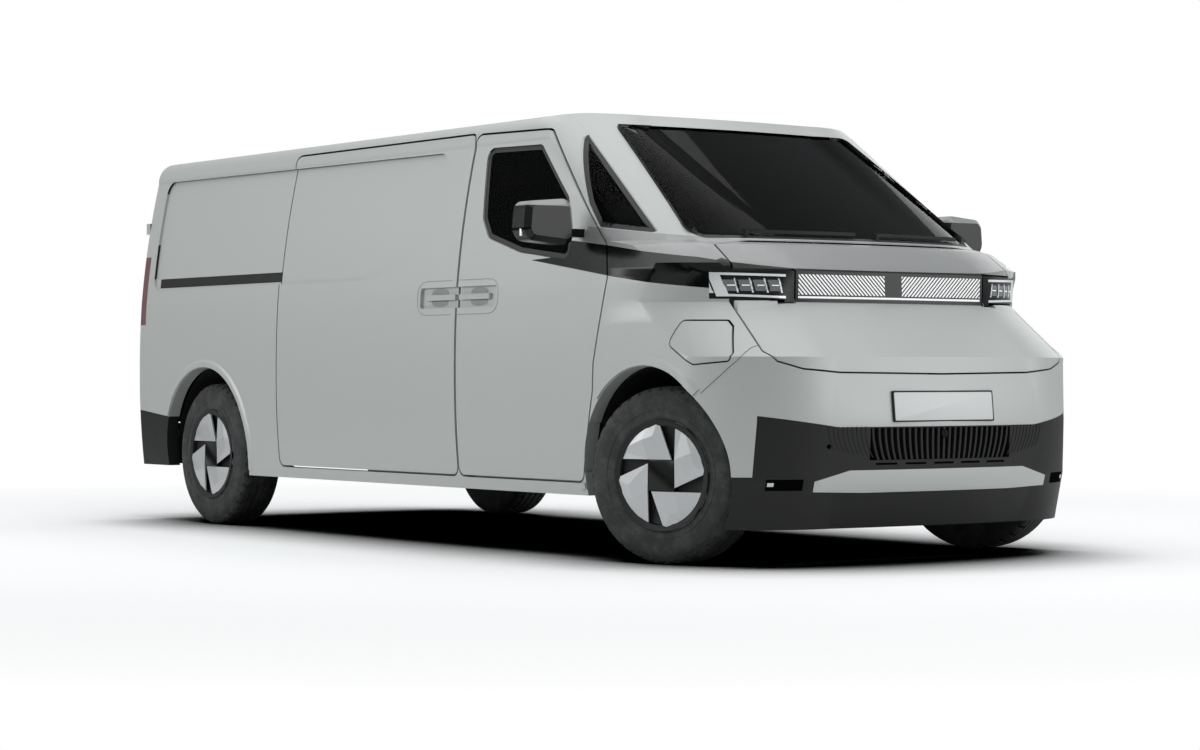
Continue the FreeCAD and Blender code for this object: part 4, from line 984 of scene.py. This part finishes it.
# Section from the inner bead over the tread to the outer bead: along the axle, then out.
tyre_section = (
    (-0.09, 0.2035), (-0.1, 0.212), (-0.105, 0.245), (-0.1068, 0.28), (-0.104, 0.312),
    (-0.096, 0.334), (-0.086, 0.344), (-0.074, 0.3478), (-0.056, 0.349), (-0.056, 0.342),
    (-0.048, 0.342), (-0.048, 0.3494), (-0.022, 0.3498), (-0.022, 0.342), (-0.013, 0.342),
    (-0.013, 0.35), (0.013, 0.35), (0.013, 0.342), (0.022, 0.342), (0.022, 0.3498),
    (0.048, 0.3494), (0.048, 0.342), (0.056, 0.342), (0.056, 0.349), (0.074, 0.3478),
    (0.086, 0.344), (0.096, 0.334), (0.102, 0.318), (0.1035, 0.3165), (0.106, 0.29),
    (0.1068, 0.26), (0.1052, 0.259), (0.1048, 0.25), (0.1062, 0.249), (0.105, 0.23),
    (0.1, 0.212), (0.09, 0.2035),
)
tyre_steps = 120
shoulder_inner, shoulder_outer, shoulder_out = 0.058, 0.092, 0.336


def turned(mesh, section, steps):
    """Turns a closed section, along and out from the axle, into a ring."""
    corners = [mesh.verts.new((0, along, out)) for along, out in section]
    edges = [mesh.edges.new(pair) for pair in zip(corners, corners[1:] + corners[:1])]
    bmesh.ops.spin(mesh, geom=corners + edges, cent=(0, 0, 0), axis=(0, 1, 0), angle=math.tau,
                   steps=steps, use_merge=True)


def notched(face):
    """Whether a tyre's face lies on a shoulder, at every third step round."""
    middle = face.calc_center_median()
    step = int((math.atan2(middle.x, middle.z) + math.pi) / math.tau * tyre_steps)
    on_tread = math.hypot(middle.x, middle.z) > shoulder_out
    return shoulder_inner < abs(middle.y) < shoulder_outer and on_tread and step % 3 == 0


for place, spot_matrix in wheel_spots.items():
    mesh = bmesh.new()
    turned(mesh, tyre_section, tyre_steps)
    faced_out(mesh)
    shoulder = [face for face in mesh.faces if notched(face)]
    bmesh.ops.inset_individual(mesh, faces=shoulder, thickness=0.0035, depth=-0.005)
    bmesh.ops.transform(mesh, matrix=spot_matrix, verts=mesh.verts)
    dressed(mesh, f"tyre_{place}", "tread", (tread_rubber,), 40)

# Wheel covers: four faceted blades of painted plastic set round a square black cap, clipped
# over a black steel wheel.
silver_cover, tree, spot = finish_material("silver_painted_wheel_cover")
# Fine metal flake under the cover's lacquer.
fleck = ranged(tree, noise(tree, spot, 700, 1), 0.95, 1.04, 0.3, 0.7)
surfaced(tree, {"Metallic": 0.45, "Roughness": 0.38, "Coat Weight": 0.4},
         [("Base Color", toned(tree, "#bcbebf", fleck))])

cover_radius, cover_face = 0.2195, 0.1135
cap_size, cap_sunk = (0.121, 0.03, 0.121), 0.019
# Corners of one blade: across and up from the middle of the wheel, and back from its face.
blade = {
    "heel": (-0.047, 0.063, 0.005), "tip": (0.0165, 0.2188, 0.006),
    "toe": (0.2102, 0.063, 0.01), "fold_foot": (0.063, 0.063, 0.002),
    "fold_top": (0.09, 0.14, 0.0), "corner": (0.04, 0.155, 0.001),
    "ridge_end": (0.178, 0.1285, 0.013), "fold_end": (0.1085, 0.1908, 0.011),
}
# Corners of each face; an arc follows the cover's round edge between its neighbours.
blade_faces = (
    ("toe", "arc", "ridge_end", "fold_top", "fold_foot"),
    ("ridge_end", "arc", "fold_end", "fold_top"),
    ("fold_end", "arc", "tip", "corner", "fold_top"),
    ("tip", "heel", "corner"),
    ("fold_foot", "fold_top", "corner", "heel"),
)
arc_steps = 6
# Disc and barrel of the steel wheel: along the axle, then out.
wheel_sections = (
    ((0.086, 0.02), (0.08, 0.15), (0.088, 0.196), (0.08, 0.196), (0.072, 0.15),
     (0.078, 0.02)),
    ((-0.107, 0.1925), (-0.107, 0.2022), (0.1072, 0.2022), (0.1082, 0.2195),
     (0.1105, 0.2198), (0.112, 0.218), (0.108, 0.196), (0.09, 0.1925)),
)
wheel_steps = 96
clip_size, clip_place = (0.030, 0.012, 0.009), (-0.034, 0.098, 0.2050)


def arc_between(mesh, start, end):
    """Corners round the cover's edge between two others."""
    arc = []
    for step in range(1, arc_steps):
        point = start.lerp(end, step / arc_steps)
        reach = math.hypot(point.x, point.z)
        across, up = point.x / reach * cover_radius, point.z / reach * cover_radius
        arc.append(mesh.verts.new((across, point.y, up)))
    return arc


def blades():
    """Four folded blades round the axle."""
    mesh = bmesh.new()
    known = {}
    for key, (across, up, back) in blade.items():
        known[key] = mesh.verts.new((across, cover_face - back, up))
    for names in blade_faces:
        ring = []
        for index, key in enumerate(names):
            if key == "arc":
                ring += arc_between(mesh, known[names[index - 1]].co, known[names[index + 1]].co)
            else:
                ring.append(known[key])
        mesh.faces.new(ring)
    bmesh.ops.triangulate(mesh, faces=mesh.faces)
    thickened(mesh, 0.007, Vector((0, -1, 0)))
    first = mesh.verts[:] + mesh.edges[:] + mesh.faces[:]
    for turn in range(1, 4):
        copy = bmesh.ops.duplicate(mesh, geom=first)["geom"]
        points = [item for item in copy if isinstance(item, bmesh.types.BMVert)]
        quarter_turned(mesh, points, turn)
    return mesh


def cap():
    """Square cap with softened corners and rim."""
    mesh = box(cap_size)
    corner = [edge for edge in mesh.edges if abs(edge.verts[0].co.y - edge.verts[1].co.y) > 0.01]
    rounded(mesh, corner, 0.004, 3)
    top = [face for face in mesh.faces if face.normal.y > 0.9]
    rounded(mesh, list({edge for face in top for edge in face.edges}), 0.003, 3)
    bmesh.ops.translate(mesh, verts=mesh.verts, vec=(0, cover_face - cap_sunk, 0))
    return mesh


def steel_wheel():
    """Barrel, flanges and disc behind the cover."""
    mesh = bmesh.new()
    for section in wheel_sections:
        turned(mesh, section, wheel_steps)
    return faced_out(mesh)


def clips():
    """A clip block at the rim in each slot between the blades."""
    mesh = bmesh.new()
    for turn in range(4):
        clip = bmesh.ops.create_cube(mesh, size=1)["verts"]
        bmesh.ops.scale(mesh, verts=clip, vec=clip_size)
        bmesh.ops.translate(mesh, verts=clip, vec=clip_place)
        quarter_turned(mesh, clip, turn)
    rounded(mesh, mesh.edges[:], 0.0012, 2)
    return mesh


for place, spot_matrix in wheel_spots.items():
    node = f"wheel_{place}"
    for mesh, name, finish, replaced, crease in (
            (blades(), "cover_blades", silver_cover, (), 4), (cap(), "cover_cap", piano, (), 20),
            (steel_wheel(), "steel_wheel", grain, (node,), 30),
            (clips(), "cover_clips", chrome, (), 20)):
        bmesh.ops.transform(mesh, matrix=spot_matrix, verts=mesh.verts)
        shown(mesh, f"{name}_{place}", (finish,), body_of[node], replaced, crease)

# Mirrors: gloss black shells on short arms, with a graphite cap over the top and a small
# clear turn lamp at the outer lower edge.
cap_rise = 1.424
turn_lamp_size = (0.012, 0.006, 0.042)
turn_lamp_x, turn_lamp_y, turn_lamp_rise = 1.405, 1.2505, 1.322
for side, hand in sides:
    node = f"mirror_{hand}"
    mesh = copied(node)
    split(mesh, (0, 0, cap_rise), (0, 0, 1))
    for face in mesh.faces:
        if face.calc_center_median().z > cap_rise:
            face.material_index = 1
    dressed(mesh, node, "shell", (piano, belt), crease=20)
    mesh = box(turn_lamp_size)
    rounded(mesh, mesh.edges[:], 0.0015, 3)
    lamp_place = (turn_lamp_x, side * turn_lamp_y, turn_lamp_rise)
    bmesh.ops.translate(mesh, verts=mesh.verts, vec=lamp_place)
    # The turn lamp takes the guide's finish, with its faint painted glow.
    shown(mesh, f"{node}_turn_lamp", (guide,), body_of[node])

# Tail lamps: dark red acrylic lenses at the rear corners, unlit, in the shape that the solids
# give them.
red, tree, spot = finish_material("red_acrylic_lens")
# Moulded prisms behind the lens show as fine upright ribs.
prisms = blended(tree, ripples(tree, spot, 60, "Z"), "#3a0608", "#6d0d10")
surfaced(tree, {"Roughness": 0.15, "Coat Weight": 1}, [("Base Color", prisms)])
shown(copied("tail_lamps"), "tail_lamp_lenses", (red,), "body", ("tail_lamps",))

# Cab and chassis: a dark moulded dashboard and steering wheel, coated steel running gear and
# seat bases, cast alloy housings, and grey lining on the floor and the bulkheads.
skin, tree, spot = finish_material("dark_textured_dash_skin")
# Slush-moulded skin with a fine pebble.
relief = bumped(tree, cells(tree, spot, 500), 0.3, 0.0005)
surfaced(tree, {"Base Color": linear("#3a3b3c"), "Roughness": 0.6}, [("Normal", relief)])
dressed(copied("dashboard"), "dashboard", "skin", (skin,))
dressed(copied("steering_wheel"), "steering_wheel", "frame", (skin,))

# Dip coat over pressed steel, with slight mottling.
steel = uneven("black_coated_steel", "#1d1e1f", (25, 5), (0.4, 0.65), {"Metallic": 0.3})
# As-cast alloy has a fine dull grain.
cast = uneven("die_cast_aluminium", "#8d9093", (220, 4), (0.35, 0.55), {"Metallic": 0.9})

liner, tree, spot = finish_material("light_grey_panel_lining")
# Painted inner steel and floor covering, scuffed.
scuff = blended(tree, noise(tree, spot, 5, 8), "#4c4e4f", "#6c6e70")
surfaced(tree, {"Roughness": 0.6}, [("Base Color", scuff)])

for finish, nodes in (
        (steel, ("knuckle_left", "knuckle_right", "front_subframe", "rear_axle", "seat_bases")),
        (cast, ("battery_pack", "drive_unit")), (liner, ("floor", "bulkheads"))):
    for node in nodes:
        data = frame["nodes"][node].data
        data.materials.clear()
        data.materials.append(finish)

# Seats: foam cushions under dark woven cloth, crowned in the middle and drawn in by a seam
# round each edge.
cloth, tree, spot = finish_material("dark_woven_seat_cloth")
# Warp and weft a few millimetres apart, coarser than real so that they show.
warp, weft = ripples(tree, spot, 160, "X"), ripples(tree, spot, 160, "Y")
cross = add(tree, "ShaderNodeMath", {"operation": "MULTIPLY"}, [(0, warp), (1, weft)])
relief = bumped(tree, cross.outputs[0], 0.4, 0.001)
surfaced(tree, {"Base Color": linear("#2c2d30"), "Roughness": 0.85, "Sheen Weight": 0.3},
         [("Normal", relief)])


def cushion(length, breadth, thick, crown):
    """Crowned closed pad about its middle: flat below, drawn in between its corners."""
    drawn_in, softened = 0.045, 0.10
    mesh = box((1, 1, 1))
    bmesh.ops.subdivide_edges(mesh, edges=mesh.edges[:], cuts=11, use_grid_fill=True)
    for vert in mesh.verts:
        along, aside, up = vert.co * 2
        pinch = 1 - drawn_in * (1 - along ** 2) * (1 - aside ** 2 < 0.05)
        pinch -= drawn_in * (1 - aside ** 2) * (abs(along) > 0.95)
        soft = 1 - softened * max(abs(up) - 0.6, 0)
        height = up * thick / 2 * (1 - crown if up > 0 else 1)
        if up > 0.9:
            dome = (1 - along ** 4) * (1 - aside ** 4)
            height += crown * thick / 2 * dome
        vert.co = Vector((along * length / 2 * pinch * soft, aside * breadth / 2 * pinch * soft,
                          height))
    bmesh.ops.smooth_vert(mesh, verts=mesh.verts, factor=0.5, use_axis_x=True, use_axis_y=True,
                          use_axis_z=True)
    return mesh


seat_y = 0.4
back_foot = Vector((0.58, 0, 0.8806))
back_lean = Matrix.Rotation(math.radians(-14), 4, "Y")
upright = Matrix.Rotation(math.radians(90), 4, "Y")
for side, hand in sides:
    foot = Matrix.Translation(back_foot + Vector((0, side * seat_y, 0))) @ back_lean
    pads = (
        ("seat_pad", cushion(0.474, 0.474, 0.146, 0.25), moved_to(0.7875, side * seat_y, 0.8053)),
        ("back_pad", cushion(0.550, 0.470, 0.124, 0.22),
         foot @ moved_to(0.065, 0, 0.280) @ upright),
        ("head_pad", cushion(0.164, 0.254, 0.086, 0.25),
         foot @ moved_to(0.045, 0, 0.6453) @ upright),
    )
    for part, mesh, place in pads:
        bmesh.ops.transform(mesh, matrix=place, verts=mesh.verts)
        name = f"{part}_{hand}"
        piece = shown(faced_out(mesh), name, (cloth,), "body", (), 60)
        if part == "seat_pad" and side > 0:
            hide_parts("seat_cushions")
